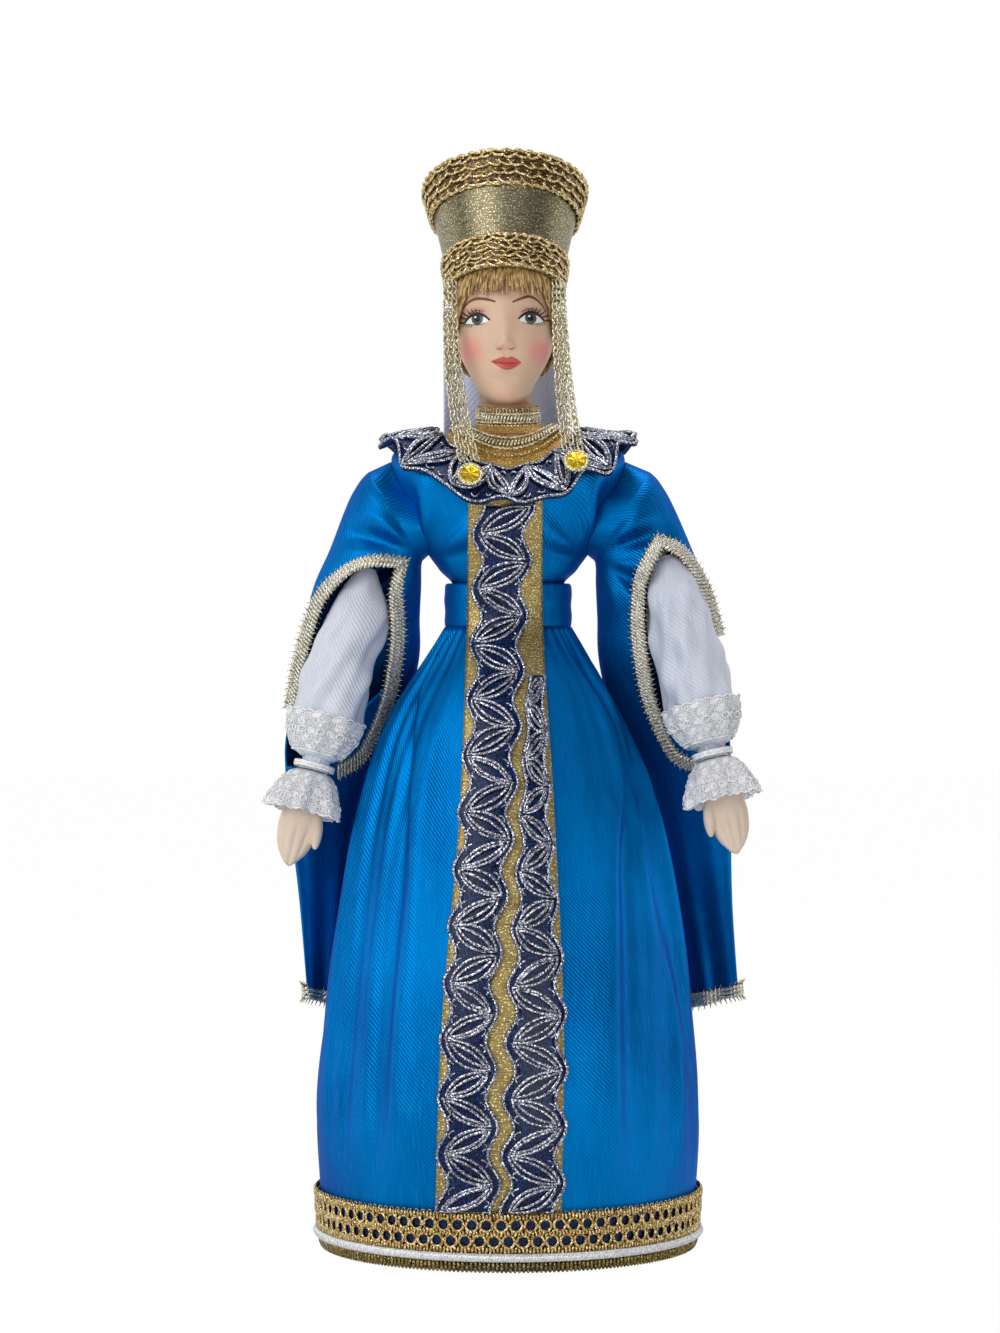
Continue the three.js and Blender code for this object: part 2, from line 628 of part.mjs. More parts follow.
for (const side of Object.keys(sides)) {
  const levels = [...sleeveRows[side].map((row, i) => i), sleeveRows[side].length];
  const tube = loft([
    ...levels.map((level) => (angle) => sleeve(side, level, angle, 0)),
    ...levels.toReversed().map((level) => (angle) => sleeve(side, level, angle, cloth)),
  ], 28, true);
  const cutter = new THREE.ExtrudeGeometry(slitShape(side), { depth: 60, bevelEnabled: false });
  cutter.rotateX(Math.PI / 2);
  cutter.translate(0, sleeveCut, 0);
  add(doll, `sleeve_${side}`, fromSolid(toSolid(tube).subtract(toSolid(cutter))), satin);
  const path = slitBraidPath(side);
  add(doll, `slit_braid_${side}`, new THREE.ExtrudeGeometry(bead(slitBraid.radius, 6), {
    extrudePath: path,
    steps: 24,
    bevelEnabled: false,
  }), paleGold);
  const cuffRing = (rise, out) => (angle) => {
    const foot = sleeve(side, 0, angle, -out);
    const next = sleeve(side, 1, angle, -out);
    return foot.lerp(next, rise / (next.z - foot.z));
  };
  const cuff = { tall: 3.4, drop: 0.2 };
  add(doll, `cuff_braid_${side}`, loft([
    cuffRing(cuff.drop, gap + trim),
    cuffRing(cuff.tall, gap + trim),
    cuffRing(cuff.tall, gap + 0.3),
    cuffRing(cuff.drop, gap + 0.3),
  ], 28, true), paleGold);
}

// Arms: a padded wire in a puffed white sleeve, tied at the wrist, with lace and a porcelain hand.
for (const [side, { sign, top, wrist }] of Object.entries(sides)) {
  const from = new THREE.Vector3(sign * top[0], top[1], top[2]);
  const to = new THREE.Vector3(sign * wrist[0], wrist[1], wrist[2]);
  const long = from.distanceTo(to);
  const limb = new THREE.Group();
  limb.position.copy(from);
  limb.quaternion.setFromUnitVectors(new THREE.Vector3(0, 0, -1), to.clone().sub(from).normalize());
  doll.add(limb);
  add(limb, `arm_wire_${side}`, loft([
    pole(0, 0, -long - 4),
    oval(-long - 4, arm.wire, arm.wire),
    oval(4.5, arm.wire, arm.wire),
    pole(0, 0, 4.5),
  ], 10), card);
  const puffRows = [
    [-long, arm.wrist],
    [-long + 3, arm.wrist + 0.4],
    [-long + 7, arm.puff - 1.6],
    [-long + 12, arm.puff],
    [-long + 20, arm.puff],
    [-long + 30, arm.puff - 0.8],
    [-9, arm.puff - 2.6],
    [-1, arm.puff - 5.2],
    [2.4, arm.puff - 6.0],
  ];
  const puffAt = between(puffRows);
  const puffRing = ([z, radius]) => (angle) => {
    const crease = 0.25 * Math.cos(6 * angle) * THREE.MathUtils.smoothstep(radius, arm.wrist, arm.puff);
    return oval(z, radius + crease, radius + crease)(angle);
  };
  add(limb, `undersleeve_${side}`, loft([
    ...puffRows.map(puffRing),
    oval(puffRows.at(-1)[0], arm.bore, arm.bore),
    oval(-long, arm.bore, arm.bore),
  ], 22, true), whiteSatin);
  const bandRow = (rise, out) => {
    const radius = puffAt(-long + rise)[0] + gap + 0.25 + out;
    return [-long + rise, radius, radius];
  };
  const bandRises = spread(4.6, 12.6, 2);
  add(limb, `lace_band_${side}`, hoop([
    ...bandRises.map((rise) => bandRow(rise, 0.6)),
    ...bandRises.toReversed().map((rise) => bandRow(rise, 0)),
  ], 20), lace);
  const tieIn = arm.wrist + gap + 0.2;
  const tieRows = [[0.4, trim], [2.4, trim], [2.4, 0], [0.4, 0]];
  add(limb, `wrist_tie_${side}`, hoop(tieRows.map(([rise, out]) => {
    const radius = tieIn + out + (rise > 1 ? 0.35 : 0);
    return [-long + rise, radius, radius];
  }), 16), lace);
  const ruffle = { long: 9.5, flare: 8.6, wave: 0.9, waves: 8, thick: 0.7 };
  const ruffleRing = (part, inset) => (angle) => {
    const wave = ruffle.wave * part * Math.cos(ruffle.waves * angle);
    const radius = THREE.MathUtils.lerp(arm.wrist + gap, ruffle.flare, Math.sqrt(part)) + wave - inset;
    return oval(-long - gap - part * ruffle.long, radius, radius)(angle);
  };
  const ruffleParts = spread(1, 0, 2);
  add(limb, `lace_ruffle_${side}`, loft([
    ...ruffleParts.map((part) => ruffleRing(part, 0)),
    ...ruffleParts.toReversed().map((part) => ruffleRing(part, ruffle.thick)),
  ], 32, true), lace);

  // Hand: a wrist peg, a palm with closed fingers and a thumb.
  const handTop = -long - gap;
  const handRows = [
    [palm.long, 0.9, 0.8],
    [palm.long - 1.5, 2.6, 1.9],
    [palm.long - 5, 4.0, 2.5],
    [palm.long - 9, palm.width, palm.depth],
    [palm.long - 13, palm.width - 0.6, palm.depth],
    [palm.long - 17, arm.wrist - 0.8, arm.wrist - 0.9],
    [1, arm.wrist - 1.0, arm.wrist - 1.0],
    [0, arm.wrist - 1.2, arm.wrist - 1.2],
  ];
  const mitten = loft([
    pole(0, 0, handTop - palm.long - 0.5),
    ...handRows.map(([drop, width, depth]) => oval(handTop - drop, width, depth)),
    oval(handTop, arm.bore, arm.bore),
    oval(handTop - 5, arm.bore, arm.bore),
    pole(0, 0, handTop - 5),
  ], 16);
  const thumb = new THREE.SphereGeometry(1, 10, 6);
  thumb.scale(1.5, 1.5, 5);
  thumb.rotateY(-sign * 0.35);
  thumb.translate(-sign * (palm.width - 0.2), -1.2, handTop - palm.long + 7.8);
  add(limb, `hand_${side}`, fromSolid(toSolid(mitten).add(toSolid(thumb))), porcelain);
}

// Pendants: three chain strands side by side from the hat's lower edge, and a sequin below.
const chain = { width: 2.6, thick: 1.5 };
const sequin = { width: 2.8, tall: 3.1, thick: 0.7, lean: 0.6 };
for (const [side, { sign, pendant, sequin: place }] of Object.entries(sides)) {
  const path = new THREE.QuadraticBezierCurve3(
    ...pendant.map(([x, y, z]) => new THREE.Vector3(sign * x, y, z)),
  );
  add(doll, `pendant_chains_${side}`, strip(3, 8, chain.thick, (across, along, rise) => {
    const point = path.getPoint(1 - along);
    const width = chain.width * (1 - 0.3 * along) * (1 + 0.04 * Math.cos(24 * along));
    return point.add(new THREE.Vector3(across * width, -rise, 0));
  }), paleGold);
  const disc = new THREE.SphereGeometry(1, 14, 6);
  disc.scale(sequin.width, sequin.thick, sequin.tall);
  disc.rotateX(-sequin.lean);
  const mesh = add(doll, `pendant_sequin_${side}`, disc, yellow);
  mesh.position.set(sign * place[0], place[1], place[2]);
}

// Veil: a white panel from the hat's lower back edge, hanging over the collar behind.
const veilLine = between([
  [veil.low, 26.4],
  [180, 25.6],
  [187, 23.6],
  [196, 20.2],
  [206, 17.8],
  [217, 15.9],
  [228, 14.2],
]);
const veilTop = 228.1;
add(doll, 'veil', strip(8, 10, veil.thick, (across, along, rise) => {
  const x = head.x + across * veil.width;
  const bow = 0.014 * x * x * along;
  const z = THREE.MathUtils.lerp(veil.low, veilTop + bow, along);
  const ripple = 0.7 * Math.sin(along * Math.PI) * Math.cos(across * 7);
  return new THREE.Vector3(x, veilLine(z)[0] - bow - rise + veil.thick + ripple, z);
}), whiteSatin);

export default doll;
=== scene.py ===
import math
import bpy
import numpy as np
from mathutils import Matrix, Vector
from mathutils.bvhtree import BVHTree


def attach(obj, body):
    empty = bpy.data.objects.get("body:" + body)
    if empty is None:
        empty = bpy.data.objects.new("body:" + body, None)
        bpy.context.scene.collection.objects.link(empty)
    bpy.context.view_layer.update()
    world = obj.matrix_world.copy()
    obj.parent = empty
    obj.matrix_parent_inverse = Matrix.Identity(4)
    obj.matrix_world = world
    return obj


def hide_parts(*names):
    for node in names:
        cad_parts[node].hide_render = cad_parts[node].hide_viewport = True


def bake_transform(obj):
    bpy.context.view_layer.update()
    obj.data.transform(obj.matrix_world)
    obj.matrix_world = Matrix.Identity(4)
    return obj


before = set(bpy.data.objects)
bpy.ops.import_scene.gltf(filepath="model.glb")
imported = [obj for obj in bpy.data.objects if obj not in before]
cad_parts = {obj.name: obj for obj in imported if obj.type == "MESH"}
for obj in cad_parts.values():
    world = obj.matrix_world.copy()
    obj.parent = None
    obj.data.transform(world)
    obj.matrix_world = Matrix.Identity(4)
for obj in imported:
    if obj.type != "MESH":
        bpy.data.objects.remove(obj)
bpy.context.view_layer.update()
scene = bpy.context.scene
mm = 0.001

# Camera, level with the doll's middle like the photo
camera = bpy.data.objects.new("camera", bpy.data.cameras.new("camera"))
scene.collection.objects.link(camera)
camera.location = (-0.002, -0.9, 0.142)
camera.rotation_euler = (math.pi / 2, 0, 0)
camera.data.sensor_width = 36
camera.data.lens = 98.6
scene.camera = camera
scene.view_settings.view_transform = "Standard"


# A socket of a node tree, with maths on it
class Wire:
    def __init__(self, tree, socket):
        self.tree = tree
        self.socket = socket

    def make(self, kind, settings=None, sockets=None, out=0):
        node = self.tree.nodes.new(kind)
        for key, value in (settings or {}).items():
            setattr(node, key, value)
        for key, value in (sockets or {}).items():
            if isinstance(value, Wire):
                self.tree.links.new(value.socket, node.inputs[key])
            else:
                node.inputs[key].default_value = value
        return Wire(self.tree, node.outputs[out])

    def maths(self, operation, first, second=0.0):
        return self.make("ShaderNodeMath", {"operation": operation}, {0: first, 1: second})

    def __add__(self, other):
        return self.maths("ADD", self, other)

    def __radd__(self, other):
        return self.maths("ADD", other, self)

    def __sub__(self, other):
        return self.maths("SUBTRACT", self, other)

    def __rsub__(self, other):
        return self.maths("SUBTRACT", other, self)

    def __mul__(self, other):
        return self.maths("MULTIPLY", self, other)

    def __rmul__(self, other):
        return self.maths("MULTIPLY", other, self)

    def __truediv__(self, other):
        return self.maths("DIVIDE", self, other)

    def __rtruediv__(self, other):
        return self.maths("DIVIDE", other, self)

    def __pow__(self, other):
        return self.maths("POWER", self, other)

    def wave(self):
        return self.maths("SINE", self)

    def size(self):
        return self.maths("ABSOLUTE", self)

    def fade(self, low, high):
        sockets = {"Value": self, "From Min": low, "From Max": high}
        return self.make("ShaderNodeMapRange", {"interpolation_type": "SMOOTHSTEP"}, sockets)

    def axes(self):
        return [self.make("ShaderNodeSeparateXYZ", {}, {0: self}, name) for name in "XYZ"]

    def noise(self, scale, detail=2.0, rough=0.5):
        sockets = {"Vector": self, "Scale": scale, "Detail": detail, "Roughness": rough}
        return self.make("ShaderNodeTexNoise", {}, sockets)

    def stretched(self, x, y, z):
        return self.make("ShaderNodeMapping", {}, {"Vector": self, "Scale": (x, y, z)})

    def bump(self, strength, distance):
        return self.make("ShaderNodeBump", {}, {"Height": self, "Strength": strength, "Distance": distance})


def colour(red, green, blue):
    parts = [c / 255 for c in (red, green, blue)]
    return [c / 12.92 if c < 0.04045 else ((c + 0.055) / 1.055) ** 2.4 for c in parts] + [1.0]


# paint(place, flat) returns what varies; fixed values go on the shader itself
def finish(name, paint, fixed=None):
    material = bpy.data.materials.new(name)
    material.use_nodes = True
    tree = material.node_tree
    shader = tree.nodes["Principled BSDF"]
    for key, value in (fixed or {}).items():
        shader.inputs[key].default_value = value
    where = tree.nodes.new("ShaderNodeTexCoord")
    place = Wire(tree, where.outputs["Object"])
    flat = Wire(tree, where.outputs["UV"])
    for key, wire in paint(place, flat).items():
        tree.links.new(wire.socket, shader.inputs[key])
    return material


def mixed(factor, one, other):
    sockets = {0: factor, 6: one, 7: other}
    return factor.make("ShaderNodeMix", {"data_type": "RGBA"}, sockets, 2)


# Rows of numbers read smoothly between their first column
def between(rows):
    table = np.array(rows, float)
    x, y = table[:, 0], table[:, 1:]
    step = np.diff(x)
    slope = np.diff(y, axis=0) / step[:, None]
    tangent = np.empty_like(y)
    tangent[0], tangent[-1] = slope[0], slope[-1]
    share = (step[:-1] / (step[:-1] + step[1:]))[:, None]
    tangent[1:-1] = slope[:-1] * (1 - share) + slope[1:] * share

    def read(at):
        at = np.asarray(at, float)
        i = np.clip(np.searchsorted(x, at) - 1, 0, len(x) - 2)
        h = step[i]
        t = np.clip((at - x[i]) / h, 0, 1)[..., None]
        h = h[..., None]
        found = (
            (2 * t**3 - 3 * t**2 + 1) * y[i] + (t**3 - 2 * t**2 + t) * h * tangent[i]
            + (3 * t**2 - 2 * t**3) * y[i + 1] + (t**3 - t**2) * h * tangent[i + 1]
        )
        return np.moveaxis(found, -1, 0)
    return read


# Rows read by their number, and the number of the row at a given first column
def byNumber(rows):
    return between([[i] + list(row) for i, row in enumerate(rows)])


def numberAt(rows):
    return between([[row[0], i] for i, row in enumerate(rows)])


def spline(points, count):
    return byNumber(points)(np.linspace(0, len(points) - 1, count)).T


def ease(value, low, high):
    t = np.clip((np.asarray(value, float) - low) / (high - low), 0, 1)
    return t * t * (3 - 2 * t)


# Angles all the way round, from the back seam or from the front
def fullTurn(count):
    return np.linspace(-math.pi, math.pi, count, endpoint=False)


def evenTurn(count, shift=0.0):
    return (np.arange(count) + shift) * 2 * math.pi / count


def roundPoint(width, depth, a, z):
    return np.stack(np.broadcast_arrays(width * np.sin(a), -depth * np.cos(a), z + 0 * a), axis=-1)


def unit(rows):
    return rows / np.maximum(np.linalg.norm(rows, axis=-1, keepdims=True), 1e-9)


# How far along a line its points lie, and columns of numbers read at such distances
def lengths(points):
    return np.concatenate([[0], np.cumsum(np.linalg.norm(np.diff(points, axis=0), axis=1))])


def readAlong(at, gone, columns):
    return np.stack([np.interp(at, gone, column) for column in columns.T], axis=1)


def addObject(name, mesh):
    obj = bpy.data.objects.new(name, mesh)
    scene.collection.objects.link(obj)
    return obj


# One mesh in millimetres, with the places on its flat pattern as UV
def solid(name, points, faces, material, flat=None):
    mesh = bpy.data.meshes.new(name)
    mesh.from_pydata((np.asarray(points, float).reshape(-1, 3) * mm).tolist(), [], faces)
    mesh.materials.append(material)
    mesh.shade_smooth()
    if flat is not None:
        layer = mesh.uv_layers.new(name="flat")
        layer.data.foreach_set("uv", np.asarray(flat, np.float32).ravel())
    mesh.update()
    return addObject(name, mesh)


def gridNormals(grid, looped):
    if looped:
        wide = np.concatenate([grid[:, -1:], grid, grid[:, :1]], axis=1)
        across = np.gradient(wide, axis=1)[:, 1:-1]
    else:
        across = np.gradient(grid, axis=1)
    along = np.gradient(grid, axis=0)
    normal = np.cross(across, along)
    return unit(normal)


# A sheet of cloth from a grid of points, rows upward, columns left to right as seen from outside
def cloth(name, grid, material, thick, looped=False):
    grid = np.asarray(grid, float)
    rows, columns = grid.shape[:2]
    inner = grid - gridNormals(grid, looped) * thick
    points = np.concatenate([grid.reshape(-1, 3), inner.reshape(-1, 3)])
    nextColumns = np.roll(grid, -1, axis=1)
    width = np.linalg.norm(nextColumns - grid, axis=2).mean(axis=0)
    u = np.concatenate([[0], np.cumsum(width)])
    height = np.linalg.norm(np.diff(grid, axis=0), axis=2).mean(axis=1)
    v = np.concatenate([[0], np.cumsum(height)])
    wide = columns if looped else columns - 1
    count = rows * columns
    faces, flat = [], []

    def face(corners, uv, turn):
        faces.append(corners[::-1] if turn else corners)
        flat.extend(uv[::-1] if turn else uv)
    for r in range(rows - 1):
        for c in range(wide):
            d = (c + 1) % columns
            corners = [r * columns + c, r * columns + d, (r + 1) * columns + d, (r + 1) * columns + c]
            uv = [(u[c], v[r]), (u[c + 1], v[r]), (u[c + 1], v[r + 1]), (u[c], v[r + 1])]
            face(corners, uv, False)
            face([k + count for k in corners], uv, True)
    for r, turn in ((0, True), (rows - 1, False)):
        for c in range(wide):
            d = (c + 1) % columns
            a, b = r * columns + c, r * columns + d
            uv = [(u[c], v[r]), (u[c + 1], v[r])]
            face([a, b, b + count, a + count], uv + uv[::-1], turn)
    if not looped:
        for c, turn in ((0, False), (columns - 1, True)):
            for r in range(rows - 1):
                a, b = r * columns + c, (r + 1) * columns + c
                uv = [(u[c], v[r]), (u[c], v[r + 1])]
                face([a, b, b + count, a + count], uv + uv[::-1], turn)
    return solid(name, points, faces, material, flat)


# Faces between rings of points; a closed run joins its last ring to its first
def ringFaces(rows, columns, closed=False):
    faces = []
    for r in range(rows if closed else rows - 1):
        low, high = r * columns, (r + 1) % rows * columns
        for c in range(columns):
            d = (c + 1) % columns
            faces.append([low + c, low + d, high + d, high + c])
    return faces


# Plain skin from a grid of rings, with both ends closed
def skin(name, rings, material):
    rings = np.asarray(rings, float)
    rows, columns = rings.shape[:2]
    faces = ringFaces(rows, columns)
    faces.append(list(range(columns))[::-1])
    faces.append([(rows - 1) * columns + c for c in range(columns)])
    return solid(name, rings, faces, material)


def settle(obj):
    shown = bpy.context.evaluated_depsgraph_get()
    mesh = bpy.data.meshes.new_from_object(obj.evaluated_get(shown))
    obj.modifiers.clear()
    old = obj.data
    obj.data = mesh
    bpy.data.meshes.remove(old)
    return obj


# Geometry node trees: named inputs first, a finish set on what is made last
def newTree(name, inputs):
    tree = bpy.data.node_groups.new(name, "GeometryNodeTree")
    for key, kind in inputs.items():
        tree.interface.new_socket(key, in_out="INPUT", socket_type="NodeSocket" + kind)
    tree.interface.new_socket("Made", in_out="OUTPUT", socket_type="NodeSocketGeometry")
    given = tree.nodes.new("NodeGroupInput")
    return tree, [Wire(tree, given.outputs[key]) for key in inputs]


def endTree(tree, made, look):
    done = made.make("GeometryNodeSetMaterial", {}, {"Geometry": made, "Material": look})
    out = tree.nodes.new("NodeGroupOutput")
    tree.links.new(done.socket, out.inputs[0])
    return tree


# Node tree that sets a small shape on every point, turned by the point's aim and up
def setOutTree():
    tree, given = newTree("setOut", {"Points": "Geometry", "Shape": "Object", "Finish": "Material"})
    points, shape, look = given
    aim, up, size = [
        points.make("GeometryNodeInputNamedAttribute", {"data_type": "FLOAT_VECTOR"}, {"Name": name})
        for name in ("aim", "up", "size")
    ]
    settings = {"primary_axis": "X", "secondary_axis": "Z"}
    turn = points.make("FunctionNodeAxesToRotation", settings, {"Primary Axis": aim, "Secondary Axis": up})
    settings = {"transform_space": "ORIGINAL"}
    one = shape.make("GeometryNodeObjectInfo", settings, {"Object": shape}, "Geometry")
    sockets = {"Points": points, "Instance": one, "Rotation": turn, "Scale": size}
    placed = points.make("GeometryNodeInstanceOnPoints", {}, sockets)
    real = placed.make("GeometryNodeRealizeInstances", {}, {"Geometry": placed})
    return endTree(tree, real, look)


# Node tree that turns lines into round cords
def cordTree():
    inputs = {"Lines": "Geometry", "Radius": "Float", "Sides": "Int", "Finish": "Material"}
    tree, given = newTree("cords", inputs)
    lines, radius, sides, look = given
    curve = lines.make("GeometryNodeMeshToCurve", {}, {"Mesh": lines})
    ring = lines.make("GeometryNodeCurvePrimitiveCircle", {}, {"Resolution": sides, "Radius": radius})
    sockets = {"Curve": curve, "Profile Curve": ring, "Fill Caps": True}
    tube = curve.make("GeometryNodeCurveToMesh", {}, sockets)
    smooth = tube.make("GeometryNodeSetShadeSmooth", {}, {"Geometry": tube})
    return endTree(tree, smooth, look)


setOutNodes = setOutTree()
cordNodes = cordTree()


def runTree(obj, tree, values):
    modifier = obj.modifiers.new(tree.name, "NODES")
    modifier.node_group = tree
    sockets = [s for s in tree.interface.items_tree if s.in_out == "INPUT"]
    for socket in sockets[1:]:
        modifier[socket.identifier] = values[socket.name]
    return settle(obj)


# Small shapes set out in rows, each row (places, aims, ups)
def setOut(name, shape, rows, material, size=1.0):
    rows = [np.broadcast_arrays(*[np.asarray(given, float) for given in row]) for row in rows]
    places, aims, ups = [np.concatenate(given) for given in zip(*rows)]
    mesh = bpy.data.meshes.new(name)
    mesh.from_pydata((places * mm).tolist(), [], [])
    for key, value in (("aim", aims), ("up", ups), ("size", np.full(places.shape, size))):
        layer = mesh.attributes.new(key, "FLOAT_VECTOR", "POINT")
        layer.data.foreach_set("vector", value.astype(np.float32).ravel())
    return runTree(addObject(name, mesh), setOutNodes, {"Shape": shape, "Finish": material})


# Cords along a list of lines, each (points, closed)
def cords(name, lines, radius, sides, material):
    points, edges = [], []
    for line, closed in lines:
        start = len(points)
        points.extend(line)
        edges.extend((start + i, start + i + 1) for i in range(len(line) - 1))
        if closed:
            edges.append((start + len(line) - 1, start))
    mesh = bpy.data.meshes.new(name)
    mesh.from_pydata((np.asarray(points) * mm).tolist(), edges, [])
    values = {"Radius": radius * mm, "Sides": sides, "Finish": material}
    return runTree(addObject(name, mesh), cordNodes, values)


def joined(name, parts):
    for other in list(bpy.context.selected_objects):
        other.select_set(False)
    for part in parts:
        part.select_set(True)
    bpy.context.view_layer.objects.active = parts[0]
    bpy.ops.object.join()
    made = bpy.context.view_layer.objects.active
    made.select_set(False)
    made.name = name
    return made


def wear(obj, body, slot, *nodes):
    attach(obj, body)
    if nodes:
        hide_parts(*nodes)
    return obj


print("camera, nodes and helpers ready")

# Stage: a wide pale floor, white behind, and five soft lights (name, place, size, power)
stage = {
    "floor": 4.0, "paper": (238, 238, 236), "floorSeen": 0.985, "floorMirrored": 0.5,
    "dim": (0.19, 0.2, 0.23, 1), "bright": (0.98, 0.99, 1.0, 1), "plain": 0.6, "mirrored": 0.4,
    "middle": (0, 0, 0.14),
    "lights": (
        ("keyLight", (-0.7, -0.9, 0.75), 1.0, 9.0),
        ("fillLight", (0.35, -1.25, 0.25), 0.6, 3.0),
        ("leftLight", (-1.0, 0.2, 0.12), 0.5, 0.9),
        ("rightLight", (1.0, 0.15, 0.12), 0.5, 0.8),
        ("topLight", (0.1, 0.1, 1.1), 0.6, 3.5),
    ),
}


# What a ray is: seen by the camera, or seen in metal or glass
def rayKinds(tree):
    path = tree.nodes.new("ShaderNodeLightPath").outputs
    mirrored = Wire(tree, path["Is Glossy Ray"]) + Wire(tree, path["Is Transmission Ray"])
    return Wire(tree, path["Is Camera Ray"]), mirrored


def paperFloor():
    far = stage["floor"]
    mesh = bpy.data.meshes.new("floor")
    mesh.from_pydata([(-far, -far, 0), (far, -far, 0), (far, far, 0), (-far, far, 0)], [], [(0, 1, 2, 3)])
    material = bpy.data.materials.new("paper")
    material.use_nodes = True
    tree = material.node_tree
    shader = tree.nodes["Principled BSDF"]
    shader.inputs["Base Color"].default_value = colour(*stage["paper"])
    shader.inputs["Roughness"].default_value = 0.8
    seen, mirrored = rayKinds(tree)
    share = (seen + mirrored * stage["floorMirrored"]) * stage["floorSeen"]
    white = seen.make("ShaderNodeEmission", {}, {"Color": (1, 1, 1, 1), "Strength": 1.0})
    both = seen.make("ShaderNodeMixShader", {}, {0: share, 1: Wire(tree, shader.outputs[0]), 2: white})
    tree.links.new(both.socket, tree.nodes["Material Output"].inputs[0])
    mesh.materials.append(material)
    return addObject("floor", mesh)


# The world is dim in front of the doll and bright behind it, and white to the camera
def studioWorld():
    world = bpy.data.worlds.new("studio")
    world.use_nodes = True
    tree = world.node_tree
    back = tree.nodes["Background"]
    way = Wire(tree, tree.nodes.new("ShaderNodeTexCoord").outputs["Generated"]).axes()[1]
    glow = mixed(way.fade(-0.35, 0.45), stage["dim"], stage["bright"])
    tree.links.new(glow.socket, back.inputs[0])
    seen, mirrored = rayKinds(tree)
    tree.links.new((mirrored * stage["mirrored"] + stage["plain"]).socket, back.inputs[1])
    white = seen.make("ShaderNodeBackground", {}, {0: (1, 1, 1, 1), 1: 1.0})
    both = seen.make("ShaderNodeMixShader", {}, {0: seen, 1: Wire(tree, back.outputs[0]), 2: white})
    tree.links.new(both.socket, tree.nodes["World Output"].inputs[0])
    return world


floor = paperFloor()
scene.world = studioWorld()
for name, place, size, power in stage["lights"]:
    data = bpy.data.lights.new(name, "AREA")
    data.size = size
    data.energy = power
    light = addObject(name, data)
    light.location = place
    way = Vector(stage["middle"]) - Vector(place)
    light.rotation_euler = way.to_track_quat("-Z", "Y").to_euler()
print("stage ready")


# Cloth finishes. Satin has a fine slanted weave and a soft metallic shine; its bright colour, laid along the
# strands and the weave, is painted sheen
def satin(name, deep, mid, bright, lines, fixed=None):
    def paint(place, flat):
        across, up = flat.axes()[:2]
        slant = ((across + up * 0.8) * lines).wave()
        strand = flat.stretched(1.2, 0.05, 1).noise(3.0, 3.0)
        cloud = place.noise(26.0, 2.0)
        body = mixed(cloud.fade(0.32, 0.68), colour(*deep), colour(*mid))
        # Painted sheen: the bright colour is mixed in along the strands and the slanted weave
        tone = mixed(strand.fade(0.4, 0.8) * 0.45 + slant * 0.16 + 0.1, body, colour(*bright))
        rough = strand * 0.18 + cloud * 0.12 + 0.26
        relief = (slant + strand * 0.8).bump(0.26, 0.00012)
        return {"Base Color": tone, "Roughness": rough, "Normal": relief}
    return finish(name, paint, fixed)


blueSatin = satin("blueSatin", (0, 84, 154), (0, 112, 188), (6, 146, 212), 7.0, {
    "Metallic": 0.74, "Specular IOR Level": 0.12, "Specular Tint": colour(20, 130, 225), "Anisotropic": 0.3,
})
whiteSatin = satin("whiteSatin", (188, 195, 210), (210, 215, 227), (234, 237, 246), 6.0, {
    "Specular IOR Level": 0.5, "Sheen Weight": 0.15,
})

# Skirt: rows of height, half width and half depth, over a stiff cone
skirt = {
    "rows": [
        [0.8, 45.0, 45.0], [5.3, 45.6, 45.6], [13.6, 46.2, 46.2], [30, 47.2, 46.8], [58, 45.0, 43.6],
        [83, 41.0, 38.6], [108, 35.6, 32.4], [133, 26.6, 23.4], [144, 20.0, 17.0], [151.8, 15.2, 12.1],
    ],
    "waist": 151.8, "fold": 1.7, "drop": 1.1, "gather": 0.45, "ridge": 1.9, "thick": 0.5,
    "around": 288, "tall": 130,
}
skirtAt = between(skirt["rows"])
# Long ridges in front: height and place across, and the side where the cloth falls away
ridges = [
    (between([[14, -27], [46, -26], [88, -21.8], [144, -17.2], [151.8, -13]]), -1),
    (between([[14, 25], [65, 24], [90, 24.2], [129, 23.6], [144, 15], [151.8, 11]]), 1),
    (between([
        [14, 42], [56, 39.8], [74, 36.9], [93, 33.4], [112, 30.1], [129, 26], [144, 18.6], [151.8, 14],
    ]), 1),
]


def skirtFold(z, a):
    below = skirt["waist"] - z
    apart = 1 - np.exp(-((a / 0.72) ** 4))
    main = ease(z, 13.6, 90) * ease(below, -6, 40)
    big = skirt["fold"] * np.cos(10 * a + 0.6 * np.sin(3 * a))
    sharp = skirt["drop"] * np.cos(15 * a + 1.7 * np.sin(2 * a + z / 46) + 0.8) ** 3
    small = skirt["gather"] * np.cos(46 * a + 2 * np.sin(5 * a)) * np.exp(-(below / 11) ** 2)
    waves = ease(z, 13, 40) * ease(below, -4, 24)
    long = 0
    for across, way in ridges:
        t = (a - np.arcsin(np.clip(across(z)[0] / skirtAt(z)[0], -1, 1))) * way / 0.25
        long = long + np.exp(-(t**2) * np.where(t > 0, 12, 1.6)) - 0.75 * np.exp(-(((t - 0.6) / 0.36) ** 2))
    return apart * (main * big + waves * sharp * 0.8 + small) + skirt["ridge"] * waves * long


def onSkirt(z, a, lift):
    width, depth = skirtAt(z)
    out = skirtFold(z, a) + lift
    return roundPoint(width + out, depth + out, a, z)


angles = fullTurn(skirt["around"])
levels = np.linspace(0.9, skirt["waist"], skirt["tall"])
grid = onSkirt(levels[:, None], angles[None, :], 0.0)
gown = cloth("skirtCloth", grid, blueSatin, skirt["thick"], looped=True)
wear(gown, "doll", "blue_satin", "skirt")
print("skirt made")

